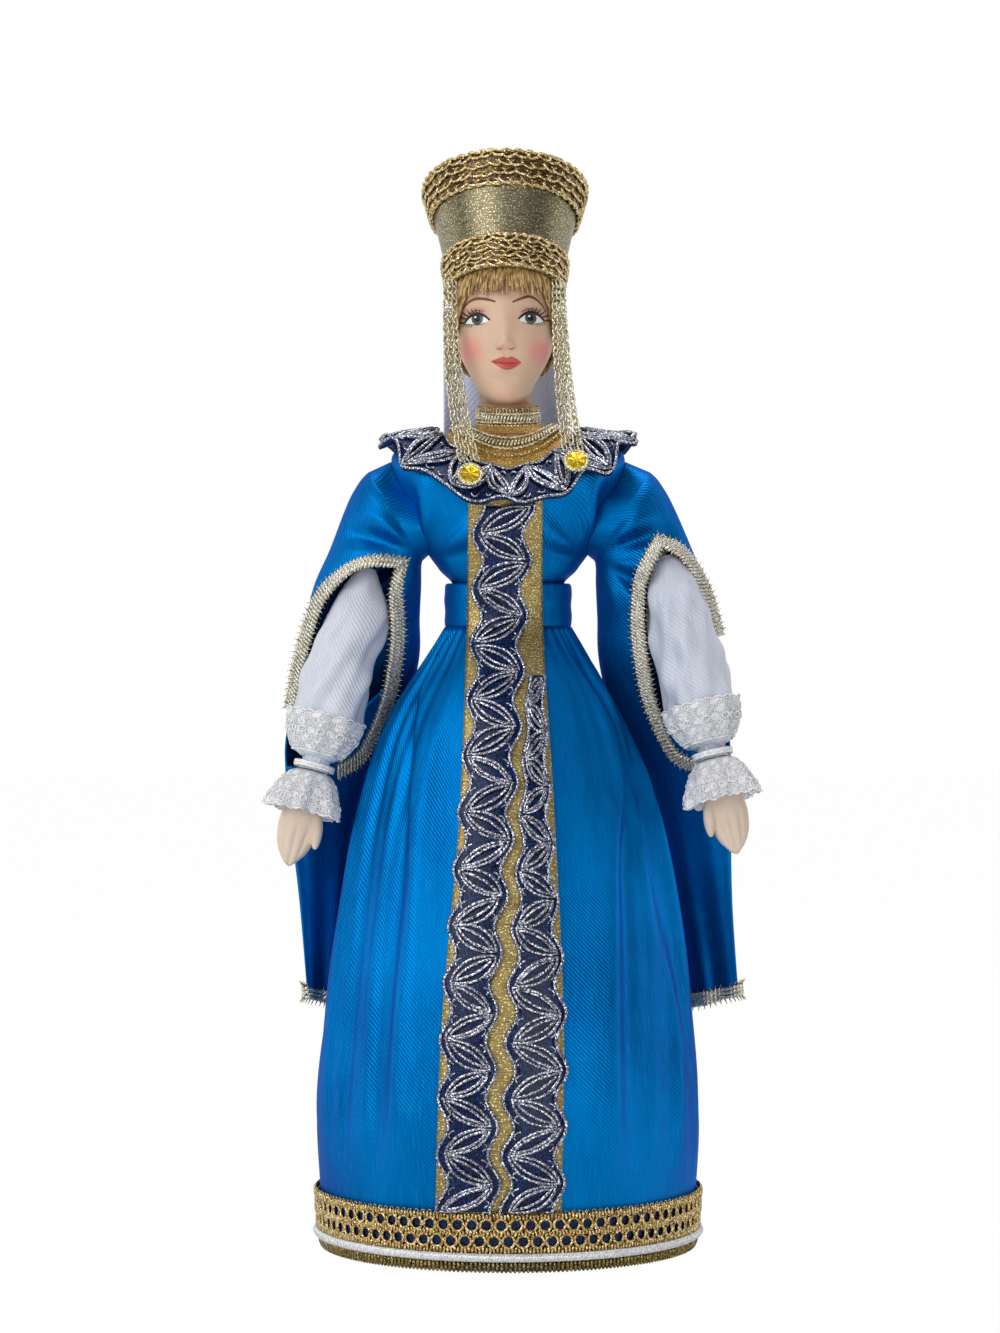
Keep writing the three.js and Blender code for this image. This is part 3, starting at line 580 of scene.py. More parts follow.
# Belt: a folded band with a few soft creases
belt = {"width": 15.2, "depth": 12.1, "low": 151.6, "high": 162.4, "thick": 0.8}
angles = fullTurn(160)
part = np.linspace(0, 1, 26)[:, None]
crease = 0.12 * np.sin(part * 11 + 0.9 * np.sin(3 * angles)) * np.sin(np.pi * part)
roll = 0.45 * np.sqrt(np.clip(1 - (2 * part - 1) ** 10, 0, 1)) + crease
z = belt["low"] + (belt["high"] - belt["low"]) * part + 0 * angles
grid = roundPoint(belt["width"] + roll, belt["depth"] + roll, angles, z)
band = cloth("beltCloth", grid, blueSatin, belt["thick"], looped=True)
wear(band, "doll", "blue_satin", "belt")

# Bodice and sleeves: folds fan out from each armpit over both
bodice = {
    "rows": [
        [152.2, 13.9, 10.8, 0], [157, 13.9, 10.8, 0], [162.4, 13.9, 10.8, 0], [166, 17.0, 12.6, 0],
        [170, 20.0, 13.8, 0], [176, 23.6, 15.0, 0], [181, 26.6, 15.8, 1.6], [184.4, 28.6, 16.6, 4.6],
        [185.6, 28.6, 16.6, 8.4], [186.6, 25.0, 16.2, 9.8], [187.4, 20.0, 14.6, 9.9],
    ],
    "armpit": (21.0, 168.0), "fan": 1.7, "fanReach": 13, "fanSpread": 8, "thick": 0.45,
}
bodiceAt = byNumber(bodice["rows"])
bodiceLow = numberAt(bodice["rows"])


def fanFold(x, z):
    dx, dz = np.abs(x) - bodice["armpit"][0], z - bodice["armpit"][1]
    turn = np.arctan2(dz, dx)
    reach = np.hypot(dx, dz)
    near = np.exp(-(((reach - bodice["fanReach"]) / bodice["fanSpread"]) ** 2)) * ease(reach, 2, 9)
    return bodice["fan"] * near * (np.cos(7 * turn + 0.5) + 0.35 * np.cos(13 * turn + 1.3 + reach / 6))


def onBodice(level, a, lift):
    z, width, depth, rise = bodiceAt(level)
    square = 1 + 0.1 * ease(z, 166, 180) * np.sin(2 * a) ** 2
    x = width * np.sin(a) * square
    high = z + rise * np.sin(a) ** 2
    out = lift + fanFold(x, high) * np.abs(np.sin(a)) * ease(z, 160, 168)
    return roundPoint((width + out) * square, (depth + out) * square, a, high)


sleeves = {
    "left": {
        "sign": 1,
        "rows": [
            [41, 54.5, 57.2, 60.5, 17, 3.4, 10.5], [37, 81.5, 55.6, 84.5, 16, 4.6, 10.5],
            [31.5, 107, 55.2, 109, 15, 6, 10.5], [27, 124, 54.6, 126, 9.5, 7.8, 9.5],
            [22.6, 143, 51.8, 145, 2.5, 9, 4], [22, 154, 49.4, 160, 0.4, 9.4, 1],
            [21.6, 162, 45.2, 171.2, 0, 9.8, 0], [21.6, 166, 40, 183, 0, 10.4, 0],
            [21.4, 168, 36, 189.4, 0, 10.8, 0],
        ],
        "slit": [[37.5, 171.5], [33.6, 163], [32.9, 153], [34.2, 143], [36.4, 133], [40.8, 122], [46, 118.6]],
        "slitOut": [[60, 118.6], [60, 146], [50, 149.5], [47.4, 160], [43, 168]],
        "top": (38.6, -4, 166.5), "wrist": (50, -12, 119.5), "full": 1.0, "wide": 0.0, "leg": [],
        "pendant": [[12.3, -5.6, 236.2], [12.6, -14.4, 212], [15.6, -16, 194.6]],
        "sequin": (16.4, -18.2, 191.6),
    },
    "right": {
        "sign": -1,
        "rows": [
            [37.8, 54.5, 50, 59.5, 21.6, 3.4, 11], [34.4, 81.5, 52, 84.5, 18.6, 4.6, 10.5],
            [31, 107, 54.6, 109, 15, 6, 10.5], [27, 124, 54.8, 126, 9.5, 7.8, 9.5],
            [22.2, 143, 50.6, 145, 2.5, 9, 4], [21.8, 154, 48.4, 160, 0.4, 9.4, 1],
            [21.4, 162, 43.8, 171.2, 0, 9.8, 0], [21.4, 166, 39.2, 183, 0, 10.4, 0],
            [21.2, 168, 35.4, 189.4, 0, 10.8, 0],
        ],
        "slit": [[27, 166.6], [28.6, 160], [28.4, 150], [29.4, 142], [31.4, 133], [36.6, 121.5], [42, 117.4]],
        "slitOut": [[60, 117.4], [60, 144], [48.8, 147.5], [45.4, 157.5], [39.6, 164.2], [34, 166.6]],
        "top": (35.4, -4, 164), "wrist": (47.6, -10, 116.5), "full": 0.0, "wide": 0.75,
        "leg": [[50, 143], [51.2, 138], [52.2, 133]],
        "pendant": [[14.1, -5.6, 236.2], [14.6, -15, 212], [9.3, -18, 191.2]], "sequin": (9.2, -20.4, 188.2),
    },
}
armhole = {"low": 169.4, "high": 185.2, "turn": 0.62}
# Levels along a sleeve: it hangs loose below the first, then the fan of folds sets in, then the seam
sleeveHang = {"loose": 4.2, "fan": (3.6, 5.5), "seam": (7.7, 9)}


def onSleeve(side, level, a, lift):
    data = sleeves[side]
    sign = data["sign"]
    inX, inZ, outX, outZ, middle, deep, lean = byNumber(data["rows"])(level)
    seat, face = sign * np.sin(a), np.cos(a)
    half = (outX - inX) / 2
    hang = ease(sleeveHang["loose"] - level, 0, sleeveHang["loose"])
    ripple = hang * (0.8 * np.cos(5 * a * sign) + 0.7 * np.cos(8 * a * sign + level * 1.1))
    x = sign * ((inX + outX) / 2 + seat * (half + lift))
    z = (inZ + outZ) / 2 + seat * (outZ - inZ) / 2
    out = lift + ripple + fanFold(x, z) * ease(level, *sleeveHang["fan"])
    hung = np.stack([x + 0 * z, middle - face * (deep + out) - seat * lean, z], axis=-1)
    centre = (armhole["low"] + armhole["high"]) / 2
    seamZ = centre + (armhole["high"] - centre) * seat
    seam = onBodice(bodiceLow(seamZ)[0], math.pi / 2 - armhole["turn"] * face, 0.1 + lift)
    seam[..., 0] *= sign
    share = np.asarray(ease(level, *sleeveHang["seam"]))[..., None]
    return hung * (1 - share) + seam * share


def slitShape(data):
    edge = np.concatenate([spline(data["slit"], 70), np.array(data["slitOut"], float)])
    return edge * [data["sign"], 1]


def prism(name, outline, low, high, material):
    n = len(outline)
    points = [(x, y, z) for y in (low, high) for x, z in outline]
    faces = [list(range(n)), list(range(n, 2 * n))[::-1]]
    faces += [[i + n, (i + 1) % n + n, (i + 1) % n, i] for i in range(n)]
    after = np.roll(outline, -1, axis=0)
    if np.sum(outline[:, 0] * after[:, 1] - after[:, 0] * outline[:, 1]) < 0:
        faces = [f[::-1] for f in faces]
    return solid(name, points, faces, material)


def bendWith(obj, side, slot, *nodes):
    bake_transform(obj)
    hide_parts(*nodes)
    return obj


for side, data in sleeves.items():
    sign = data["sign"]
    around = np.linspace(0, math.pi, 120)
    level = np.linspace(0, len(bodice["rows"]) - 1, 90)
    grid = onBodice(level[:, None], around[None, :], 0.0)
    if sign < 0:
        grid = grid[:, ::-1] * [-1, 1, 1]
    half = cloth("bodiceCloth_" + side, grid, blueSatin, bodice["thick"])
    wear(half, "doll", "blue_satin", "bodice")
    around = fullTurn(132)
    level = np.concatenate([np.linspace(0, 7.4, 120), np.linspace(7.45, 9, 34)])
    grid = onSleeve(side, level[:, None], around[None, :], 0.0)
    tube = cloth("sleeveCloth_" + side, grid, blueSatin, bodice["thick"], looped=True)
    cutter = prism("cutter", slitShape(data), -45, 1.0, blueSatin)
    cut = tube.modifiers.new("slit", "BOOLEAN")
    cut.operation = "DIFFERENCE"
    cut.object = cutter
    cut.solver = "EXACT"
    settle(tube)
    bpy.data.objects.remove(cutter)
    bendWith(tube, side, "blue_satin", "sleeve_" + side)
print("bodice and sleeves made")


# Threads and foil: three colours, the third laid in specks as painted glints, how fine the grain is, how
# metallic and how shiny
def thread(name, dark, mid, bright, scale, metal=0.0, shine=0.5):
    def paint(place, flat):
        grain = place.noise(scale, 2.0, 0.6)
        glint = place.noise(scale * 2.7, 1.0)
        body = mixed(grain.fade(0.3, 0.6), colour(*dark), colour(*mid))
        # Painted glints: specks of the bright colour where the glint noise is high
        tone = mixed(glint.fade(0.5, 0.64), body, colour(*bright))
        return {"Base Color": tone, "Roughness": grain * 0.26 + 0.12, "Normal": grain.bump(0.4, 0.0001)}
    return finish(name, paint, {"Metallic": metal, "Specular IOR Level": shine})


goldThread = thread("goldThread", (108, 80, 38), (204, 174, 110), (255, 244, 206), 900, 0.85)
hemGold = thread("hemGold", (92, 66, 26), (186, 150, 84), (255, 238, 184), 900, 0.85)
# The dark brown net under the hat's chain links is partly painted shade between them
brownNetAndShade = thread("brownNetAndShade", (34, 22, 10), (74, 52, 22), (130, 96, 46), 700, 0.4)
silverThread = thread("silverThread", (38, 40, 56), (120, 122, 140), (246, 247, 255), 900, 0.8)
paleThread = thread("paleThread", (136, 120, 80), (214, 202, 164), (255, 250, 228), 900, 0.6)
paleBraid = thread("paleBraid", (150, 142, 118), (210, 204, 186), (255, 254, 246), 1300, 0.5)
oliveThread = thread("oliveThread", (58, 50, 24), (112, 96, 48), (190, 168, 96), 800, 0.7)
whiteCord = thread("whiteCord", (196, 198, 202), (232, 232, 232), (255, 255, 255), 900, 0.2)
navyNet = thread("navyNet", (2, 3, 8), (4, 8, 24), (18, 64, 138), 1100, 0.0, 0.2)
yellowFoil = thread("yellowFoil", (176, 138, 6), (216, 178, 14), (252, 230, 100), 500, 0.7)
lidCloth = thread("lidCloth", (90, 82, 58), (146, 136, 106), (236, 228, 196), 700, 1.0)


# Gold cloth: its colours, the brightest laid in specks as painted glitter highlights, how fine its glitter
# is, how dull and how metallic it is
def goldCloth(name, dark, mid, bright, weave, rough, metal):
    def paint(place, flat):
        strand = flat.stretched(0.16, 3.4, 1).noise(1.6, 3.0, 0.6)
        glitterGlint = flat.noise(weave, 1.0)
        body = mixed(strand.fade(0.32, 0.66), colour(*dark), colour(*mid))
        # Painted highlights: glitter specks of the bright colour
        tone = mixed(glitterGlint.fade(0.58, 0.68), body, colour(*bright))
        relief = (strand + glitterGlint * 0.5).bump(0.4, 0.00012)
        return {"Base Color": tone, "Roughness": strand * 0.24 + rough, "Normal": relief}
    return finish(name, paint, {"Metallic": metal})


brocade = goldCloth("brocade", (90, 82, 58), (146, 136, 106), (236, 228, 196), 2.6, 0.27, 1.0)
goldSatin = goldCloth("goldSatin", (138, 98, 30), (188, 146, 56), (250, 226, 160), 3.0, 0.36, 0.45)
goldLame = goldCloth("goldLame", (112, 94, 48), (178, 156, 96), (255, 244, 200), 2.2, 0.36, 0.85)


def hairPaint(place, flat):
    strand = place.stretched(1.0, 1.0, 0.05).noise(1500, 2.0)
    tone = mixed(strand.fade(0.34, 0.66), colour(120, 86, 40), colour(214, 180, 116))
    return {"Base Color": tone, "Roughness": strand * 0.2 + 0.28, "Normal": strand.bump(0.4, 0.0001)}


hairGold = finish("hairGold", hairPaint, {"Specular IOR Level": 0.6})


# Blush and shade on the face: centre across and up, width, height, colour and strength
blushes = [
    (-10.2, 219.0, 5.6, 5.2, (234, 132, 130), 0.75), (8.5, 218.8, 5.6, 5.2, (234, 132, 130), 0.75),
    (-7.6, 228.7, 3.7, 1.7, (176, 120, 120), 0.6), (5.6, 228.8, 3.7, 1.7, (176, 120, 120), 0.6),
    (-0.7, 219.6, 2.0, 1.0, (222, 160, 140), 0.5), (-0.6, 207.6, 4.0, 2.4, (222, 160, 140), 0.35),
]


# Porcelain: on the head, blush is part of its paint, and the darker neck under the chin is painted shade
def skinPaint(one, other, blushAndChinShade):
    def paint(place, flat):
        x, y, z = [axis * 1000.0 for axis in place.axes()]
        cloud = place.noise(180, 2.0)
        tone = mixed(cloud, colour(*one), colour(*other))
        if blushAndChinShade:
            front = y.fade(-3.0, -6.0)
            for cx, cz, wide, tall, shade, most in blushes:
                apart = (((x - cx) / wide) ** 2.0 + ((z - cz) / tall) ** 2.0) ** 0.5
                tone = mixed(apart.fade(1.0, 0.1) * front * most, tone, colour(*shade))
            # Painted shade: the neck under the chin is darkened towards a brown shade colour
            under = (z - (x + 0.75) ** 2.0 * 0.07).fade(207.0, 205.6)
            tone = mixed(under * 0.8, tone, colour(156, 112, 80))
        return {"Base Color": tone, "Roughness": cloud * 0.12 + 0.36}
    return paint


def flatPaint(one, other, rough):
    def paint(place, flat):
        grain = place.noise(1400, 2.0)
        tone = mixed(grain, colour(*one), colour(*other))
        return {"Base Color": tone, "Roughness": grain * 0.1 + rough}
    return paint


glaze = {"Subsurface Weight": 0.06, "Subsurface Scale": 0.002, "Specular IOR Level": 0.4}
facePorcelain = finish("facePorcelain", skinPaint((213, 177, 148), (222, 188, 160), True), glaze)
handPorcelain = finish("handPorcelain", skinPaint((216, 194, 172), (228, 210, 190), False), glaze)
facePaints = {
    name: finish(name, flatPaint(one, other, rough)) for name, one, other, rough in (
        ("eyeWhite", (236, 234, 230), (250, 250, 248), 0.2),
        ("iris", (50, 62, 58), (92, 106, 98), 0.2),
        ("pupil", (14, 14, 16), (30, 28, 28), 0.2),
        ("glint", (250, 250, 250), (255, 255, 255), 0.2),
        ("lash", (26, 16, 16), (46, 30, 26), 0.4),
        ("brow", (112, 62, 42), (136, 82, 56), 0.5),
        ("lip", (192, 72, 66), (206, 92, 82), 0.3),
        ("mouth", (150, 40, 40), (164, 52, 48), 0.4),
        ("nostril", (196, 118, 102), (206, 130, 112), 0.5),
    )
}

# Head: rows of height at the front, half width, reach to front and back, and rise to the back
head = {
    "rows": [
        [199.0, 9.5, 9.5, 9.5, 0], [200.2, 7.4, 7.4, 7.4, 0], [202.5, 6.8, 6.8, 6.8, 0],
        [205.4, 6.8, 6.8, 6.8, 0], [206.0, 6.6, 7.4, 7.4, 3], [206.3, 6.6, 9.2, 8.4, 7],
        [207.4, 7.4, 10.6, 9.0, 9.5], [210.5, 8.9, 11.3, 9.7, 8], [215.0, 10.6, 11.6, 10.2, 5],
        [219.0, 11.7, 11.8, 10.5, 2.5], [221.5, 12.0, 11.8, 10.6, 1.2], [224.5, 12.1, 11.7, 10.6, 0.5],
        [229.0, 12.0, 11.2, 10.5, 0], [233.0, 11.4, 10.6, 10.2, 0], [237.0, 10.2, 9.3, 9.6, 0],
        [241.0, 8.2, 7.2, 8.2, 0], [244.2, 4.8, 4.2, 5.2, 0], [245.4, 0.6, 0.5, 0.6, 0],
    ],
    "x": -0.75, "y": 0.2,
}
headAt = byNumber(head["rows"])
headLow = numberAt(head["rows"])
# Face forms: centre from the nose line, height, width, tallness, how far out
faceForms = [
    [-6.9, 227.0, 3.4, 2.6, -0.75], [6.6, 227.0, 3.4, 2.6, -0.75],
    [-6.8, 226.8, 2.2, 1.3, 0.4], [6.5, 226.8, 2.2, 1.3, 0.4],
    [0, 227.6, 2.2, 4.0, 0.35], [0, 224.0, 1.8, 3.2, 0.62], [0, 220.9, 1.5, 1.7, 1.15],
    [-1.6, 220.1, 0.9, 0.9, 0.5], [1.6, 220.1, 0.9, 0.9, 0.5], [0, 216.9, 2.8, 0.75, 0.55],
    [0, 214.7, 2.4, 0.85, 0.65], [0, 212.4, 3.0, 0.8, -0.35], [0, 208.2, 3.2, 2.2, 0.55],
    [-6.8, 218.2, 3.6, 4.0, 0.35], [6.8, 218.2, 3.6, 4.0, 0.35], [0, 218.3, 0.5, 0.8, -0.15],
]


def onHead(level, a, grow, forms=True):
    z, width, deep, back, rise = headAt(level)
    face = np.cos(a)
    reach = np.where(face > 0, deep, back) + grow
    x = (width + grow) * np.sin(a)
    high = z + rise * (1 - face) / 2
    out = 0
    if forms:
        for cx, cz, wide, tall, most in faceForms:
            out = out + most * np.exp(-(((x - cx) / wide) ** 2) - ((high - cz) / tall) ** 2)
        out = out * ease(face, 0, 0.3)
    placed = ease(high, 205.4, 210)
    return np.stack([placed * head["x"] + x, placed * head["y"] - reach * face - out, high], axis=-1)


around = fullTurn(200)
around = around - 0.45 * np.sin(around)
level = np.concatenate([np.linspace(0, 5.9, 30), np.linspace(6, 15.9, 150), np.linspace(16, 17, 10)])
rings = onHead(level[:, None], around[None, :], 0.0)
headSkin = skin("headSkin", rings, facePorcelain)
wear(headSkin, "doll", "porcelain", "head")
bpy.context.view_layer.update()
faceTree = BVHTree.FromObject(headSkin, bpy.context.evaluated_depsgraph_get())
print("head made")


# Paint lies on the face: places seen from the front, pushed on to the porcelain
def onFace(x, z, lift):
    points = np.empty(np.shape(x) + (3,))
    for index in np.ndindex(np.shape(x)):
        side = np.clip(x[index] - head["x"], -11.5, 11.5) + head["x"]
        hit = faceTree.ray_cast(Vector((side * mm, -0.05, z[index] * mm)), Vector((0, 1, 0)))
        points[index] = hit[0] / mm + hit[1] * lift
    return points


def patch(name, xs, lows, highs, lift, rows=6):
    part = np.linspace(0, 1, rows)[:, None]
    z = lows[None, :] * (1 - part) + highs[None, :] * part
    x = np.broadcast_to(xs[None, :], z.shape)
    return cloth(name, onFace(x, z, lift), facePaints[name], 0.05)


def stroke(name, places, widths, lift):
    line = spline(places, 16)
    wide = spline([[w] for w in widths], 16)[:, 0]
    way = np.gradient(line, axis=0)
    side = unit(np.stack([-way[:, 1], way[:, 0]], axis=1))
    grid = np.stack([line + side * (wide * k / 2)[:, None] for k in (-1, 0, 1)])
    return cloth(name, onFace(grid[..., 0], grid[..., 1], lift), facePaints[name], 0.05)


# A place in the photo, in pixels, as millimetres across and up
photo = {"pixel": 0.2445, "middle": (500, 666.5), "aim": (-2, 142)}


def photoPoint(px, py):
    x, z = photo["aim"]
    across, down = photo["middle"]
    return [(px - across) * photo["pixel"] + x, z + (down - py) * photo["pixel"]]


eyes = {
    "right": {
        "in": (490, 321.5), "out": (464.5, 323), "peak": 314.6, "low": 325.6,
        "iris": (477.5, 319.6), "way": -1,
    },
    "left": {
        "in": (518, 320.5), "out": (544, 321), "peak": 313.2, "low": 325.0,
        "iris": (530.5, 319.0), "way": 1,
    },
}
# Round paint in the eye: radius, how far out of the face, and its shift across and up
eyeRounds = {"iris": (1.42, 0.1, 0, 0), "pupil": (0.74, 0.14, 0, 0), "glint": (0.26, 0.18, -0.4, 0.45)}
paintWork = []
for eye in eyes.values():
    inner, outer = photoPoint(*eye["in"]), photoPoint(*eye["out"])
    peak, low = photoPoint(0, eye["peak"])[1], photoPoint(0, eye["low"])[1]
    way = eye["way"]
    part = np.linspace(0, 1, 26)
    start, end = (outer, inner) if way < 0 else (inner, outer)
    xs = start[0] + (end[0] - start[0]) * part
    corner = start[1] + (end[1] - start[1]) * part
    arch = np.sin(np.pi * part) ** 0.75
    highs = corner + (peak - corner) * arch
    lows = corner + (low - corner) * np.sin(np.pi * part) ** 0.9
    paintWork.append(patch("eyeWhite", xs, lows, highs, 0.06))
    cx, cz = photoPoint(*eye["iris"])
    for name, (radius, lift, dx, dz) in eyeRounds.items():
        across = np.linspace(-1, 1, 21) * radius * 0.999
        deep = np.sqrt(radius**2 - across**2)
        top = np.interp(cx + dx + across, xs, highs) - 0.05
        foot = np.interp(cx + dx + across, xs, lows) + 0.05
        upper = np.minimum(cz + dz + deep, top)
        lower = np.minimum(np.maximum(cz + dz - deep, foot), upper - 0.01)
        paintWork.append(patch(name, cx + dx + across, lower, upper, lift, 5))
    lid = np.stack([xs, highs], axis=1)[::5]
    paintWork.append(stroke("lash", lid, [0.34, 0.6, 0.76, 0.76, 0.6, 0.34], 0.2))
    crease = np.stack([xs, highs + 0.95], axis=1)[3:-3:4]
    paintWork.append(stroke("brow", crease, [0.1, 0.2, 0.22, 0.22, 0.1], 0.08))
    under = np.stack([xs, lows], axis=1)[4:-4:4]
    paintWork.append(stroke("brow", under, [0.1, 0.18, 0.2, 0.18, 0.1], 0.1))
    outward = np.linspace(0.36, 1.0, 7) if way > 0 else np.linspace(0.64, 0.0, 7)
    for i, share in enumerate(outward):
        x0, z0 = np.interp(share, part, xs), np.interp(share, part, highs)
        lean = math.radians(74 - i * 9)
        long = 1.2 + 0.26 * i
        tip = [x0 + way * long * math.cos(lean), z0 + long * math.sin(lean)]
        middle = [(x0 + tip[0]) / 2 + way * 0.12, (z0 + tip[1]) / 2 - 0.1]
        paintWork.append(stroke("lash", [[x0, z0], middle, tip], [0.34, 0.26, 0.06], 0.15))
    downward = np.linspace(0.7, 0.95, 4) if way > 0 else np.linspace(0.3, 0.05, 4)
    for i, share in enumerate(downward):
        x0, z0 = np.interp(share, part, xs), np.interp(share, part, lows)
        tip = [x0 + way * (0.35 + 0.15 * i), z0 - 0.75]
        middle = [(x0 + tip[0]) / 2, (z0 + tip[1]) / 2]
        paintWork.append(stroke("lash", [[x0, z0], middle, tip], [0.14, 0.12, 0.04], 0.12))
for brow in (
    [(461.5, 310), (467, 303.5), (475, 299.5), (485, 300), (495.5, 303)],
    [(512.5, 303.5), (521, 299.6), (530, 297.4), (539, 302), (546, 311)],
):
    places = [photoPoint(*p) for p in brow]
    widths = [0.15, 0.42, 0.62, 0.66, 0.4]
    paintWork.append(stroke("brow", places, widths if brow[0][0] < 500 else widths[::-1], 0.06))
xs = np.array([491.5, 495, 499, 502.5, 504.6, 506.7, 509, 511.7, 515, 518.5, 521])
line = np.array([362.6, 363.4, 364.0, 364.4, 364.6, 364.8, 364.6, 364.4, 364.4, 364.0, 363.6])
bow = np.array([362.2, 361.0, 359.6, 358.6, 358.9, 359.9, 358.8, 358.2, 359.6, 361.4, 363.2])
foot = np.array([363.0, 365.6, 368.4, 370.2, 370.8, 371.0, 370.9, 370.2, 368.6, 366.2, 364.0])
mouthX = np.linspace(xs[0], xs[-1], 30)
bowZ, lineZ, footZ = [photoPoint(0, np.interp(mouthX, xs, edge))[1] for edge in (bow, line, foot)]
mouthX = photoPoint(mouthX, 0)[0]
paintWork.append(patch("lip", mouthX, lineZ - 0.02, bowZ, 0.06, 5))
paintWork.append(patch("lip", mouthX, footZ, lineZ - 0.06, 0.06, 5))
parting = np.stack([mouthX, lineZ], axis=1)[::5]
paintWork.append(stroke("mouth", parting, [0.1, 0.22, 0.26, 0.26, 0.22, 0.1], 0.1))
for places in (
    [(496.5, 349.4), (499.6, 350.6), (502.6, 349.8)],
    [(508.6, 349.8), (511.4, 350.6), (514.2, 349.2)],
):
    paintWork.append(stroke("nostril", [photoPoint(*p) for p in places], [0.2, 0.5, 0.2], 0.05))
facePaint = joined("facePaint", paintWork)
wear(facePaint, "doll", "porcelain")
print("face painted")


# Small shapes that repeat: a ring, and a bar that swells or tapers
def ringShape(name, wide, tall, thick, around=12, sides=5):
    turn = evenTurn(around)[:, None]
    face = evenTurn(sides)[None, :]
    x = (wide + thick * np.cos(face)) * np.cos(turn)
    z = (tall + thick * np.cos(face)) * np.sin(turn)
    y = thick * np.sin(face) + 0 * turn
    return solid(name, np.stack([x, y, z], axis=-1), ringFaces(around, sides, True), goldThread)


swelling = ((-0.5, 0.25), (-0.35, 0.85), (0, 1.0), (0.35, 0.85), (0.5, 0.25))
tapering = ((0, 1), (0.6, 0.8), (1, 0.2))


def barShape(name, long, wide, thick, sides=6, rows=swelling):
    face = evenTurn(sides)
    rings = [
        np.stack([0 * face + p * long, np.cos(face) * wide * s, np.sin(face) * thick * s], axis=1)
        for p, s in rows
    ]
    return skin(name, rings, goldThread)


shapes = {
    "link": ringShape("linkShape", 1.75, 0.88, 0.4, 10, 5),
    "chain": ringShape("chainShape", 1.2, 0.68, 0.27, 10, 5),
    "cell": ringShape("cellShape", 1.5, 1.5, 0.42, 12, 5),
    "loop": ringShape("loopShape", 0.55, 0.62, 0.13, 9, 4),
    "lace": ringShape("laceShape", 0.6, 0.6, 0.1, 8, 4),
    "flower": ringShape("flowerShape", 0.95, 0.75, 0.24, 8, 4),
    "rib": barShape("ribShape", 1.9, 0.34, 0.36),
    "bead": barShape("beadShape", 0.8, 0.4, 0.4),
    "twist": barShape("twistShape", 1.25, 0.3, 0.3, 5),
    "spike": barShape("spikeShape", 1.5, 0.14, 0.14, 4, tapering),
}


# One row of small shapes round a surface at(level, angle, out): places, aims and ups
def rowRound(at, level, count, shift, up, out):
    a = evenTurn(count, shift)
    here = np.full(count, level)
    p = at(here, a, out)
    return p, at(here, a + 0.02, out) - p, at(here + up, a, out) - p


# Hat: flared shell tilted back, its lid, and a chain braid round each edge
hat = {
    "low": 13.0, "high": 19.2, "tall": 28.6, "wall": 0.7, "place": (-0.75, 1.2, 234.3),
    "tilt": math.radians(-22), "chains": 4, "pitch": 2.9, "linkOut": 1.25, "edgeTwists": 44,
    "lid": [
        [0.3, 26.4], [9, 26.4], [18.0, 26.4], [18.3, 26.8], [18.0, 27.2],
        [14, 27.5], [9, 27.7], [4, 27.8], [0.3, 27.8],
    ],
}
hatAxis = np.array([0, -math.sin(hat["tilt"]), math.cos(hat["tilt"])])


def hatRadius(z):
    return hat["low"] + (hat["high"] - hat["low"]) * z / hat["tall"]


def hatPoint(radius, a, z):
    x, y = radius * np.sin(a), -radius * np.cos(a)
    c, s = math.cos(hat["tilt"]), math.sin(hat["tilt"])
    px, py, pz = hat["place"]
    return np.stack([px + x + 0 * z, py + y * c - z * s, pz + y * s + z * c], axis=-1)


def onHat(a, z, out):
    return hatPoint(hatRadius(z) + out - 0.5 * np.sin(np.pi * z / hat["tall"]), a, z)


around = fullTurn(144)
tall = np.linspace(0, hat["tall"], 40)[:, None]
crown = cloth("hatShell", onHat(around[None, :], tall, hat["wall"]), brocade, hat["wall"], looped=True)
wear(crown, "doll", "gold_cloth", "hat_shell")
lid = skin("hatLid", [hatPoint(radius, around, z + 0 * around) for radius, z in hat["lid"]], lidCloth)
wear(lid, "doll", "gold_cloth", "hat_lid")


# A chain braid: rows of slanted links lying on a dark brown net, partly the braid's own ground and partly
# painted shade between the links
def chainBand(name, low, high, node):
    around = fullTurn(120)
    heights = np.linspace(low + 0.2, high - 0.2, 8)[:, None]
    ground = onHat(around[None, :], heights, hat["wall"] + 0.55)
    parts = [cloth(name + "_net", ground, brownNetAndShade, 0.4, looped=True)]
    rows = []
    for row in range(hat["chains"]):
        z = low + 0.75 + (high - low - 1.5) * row / (hat["chains"] - 1)
        count = int(2 * math.pi * (hatRadius(z) + 1.3) / hat["pitch"])
        a = evenTurn(count, (row % 2) * 0.5)
        sway = 0.22 * np.sin(a * 9 + row)
        p = onHat(a, z + sway, hat["linkOut"])
        ahead = unit(onHat(a + 0.01, z + sway, hat["linkOut"]) - p)
        rise = np.where(np.arange(count) % 2 == 0, 0.5, -0.12)[:, None] * (1 if row % 2 else -1)
        aim = ahead + hatAxis * rise
        outward = np.cross(ahead, hatAxis)
        rows.append((p, aim, outward * 0.25 - np.cross(outward, aim)))
    parts.append(setOut(name + "_links", shapes["link"], rows, goldThread))
    a = fullTurn(220)
    turn = a * hat["edgeTwists"]
    edges = [(onHat(a, z + 0.2 * np.cos(turn), 1.2 + 0.22 * np.sin(turn)), True) for z in (low, high)]
    parts.append(cords(name + "_edges", edges, 0.42, 6, goldThread))
    return wear(joined(name, parts), "doll", "gold_braid", node)


chainBand("hatBandTop", 20.6, 28.5, "hat_band_top")
chainBand("hatBandBottom", 0.3, 7.9, "hat_band_bottom")
print("hat made")

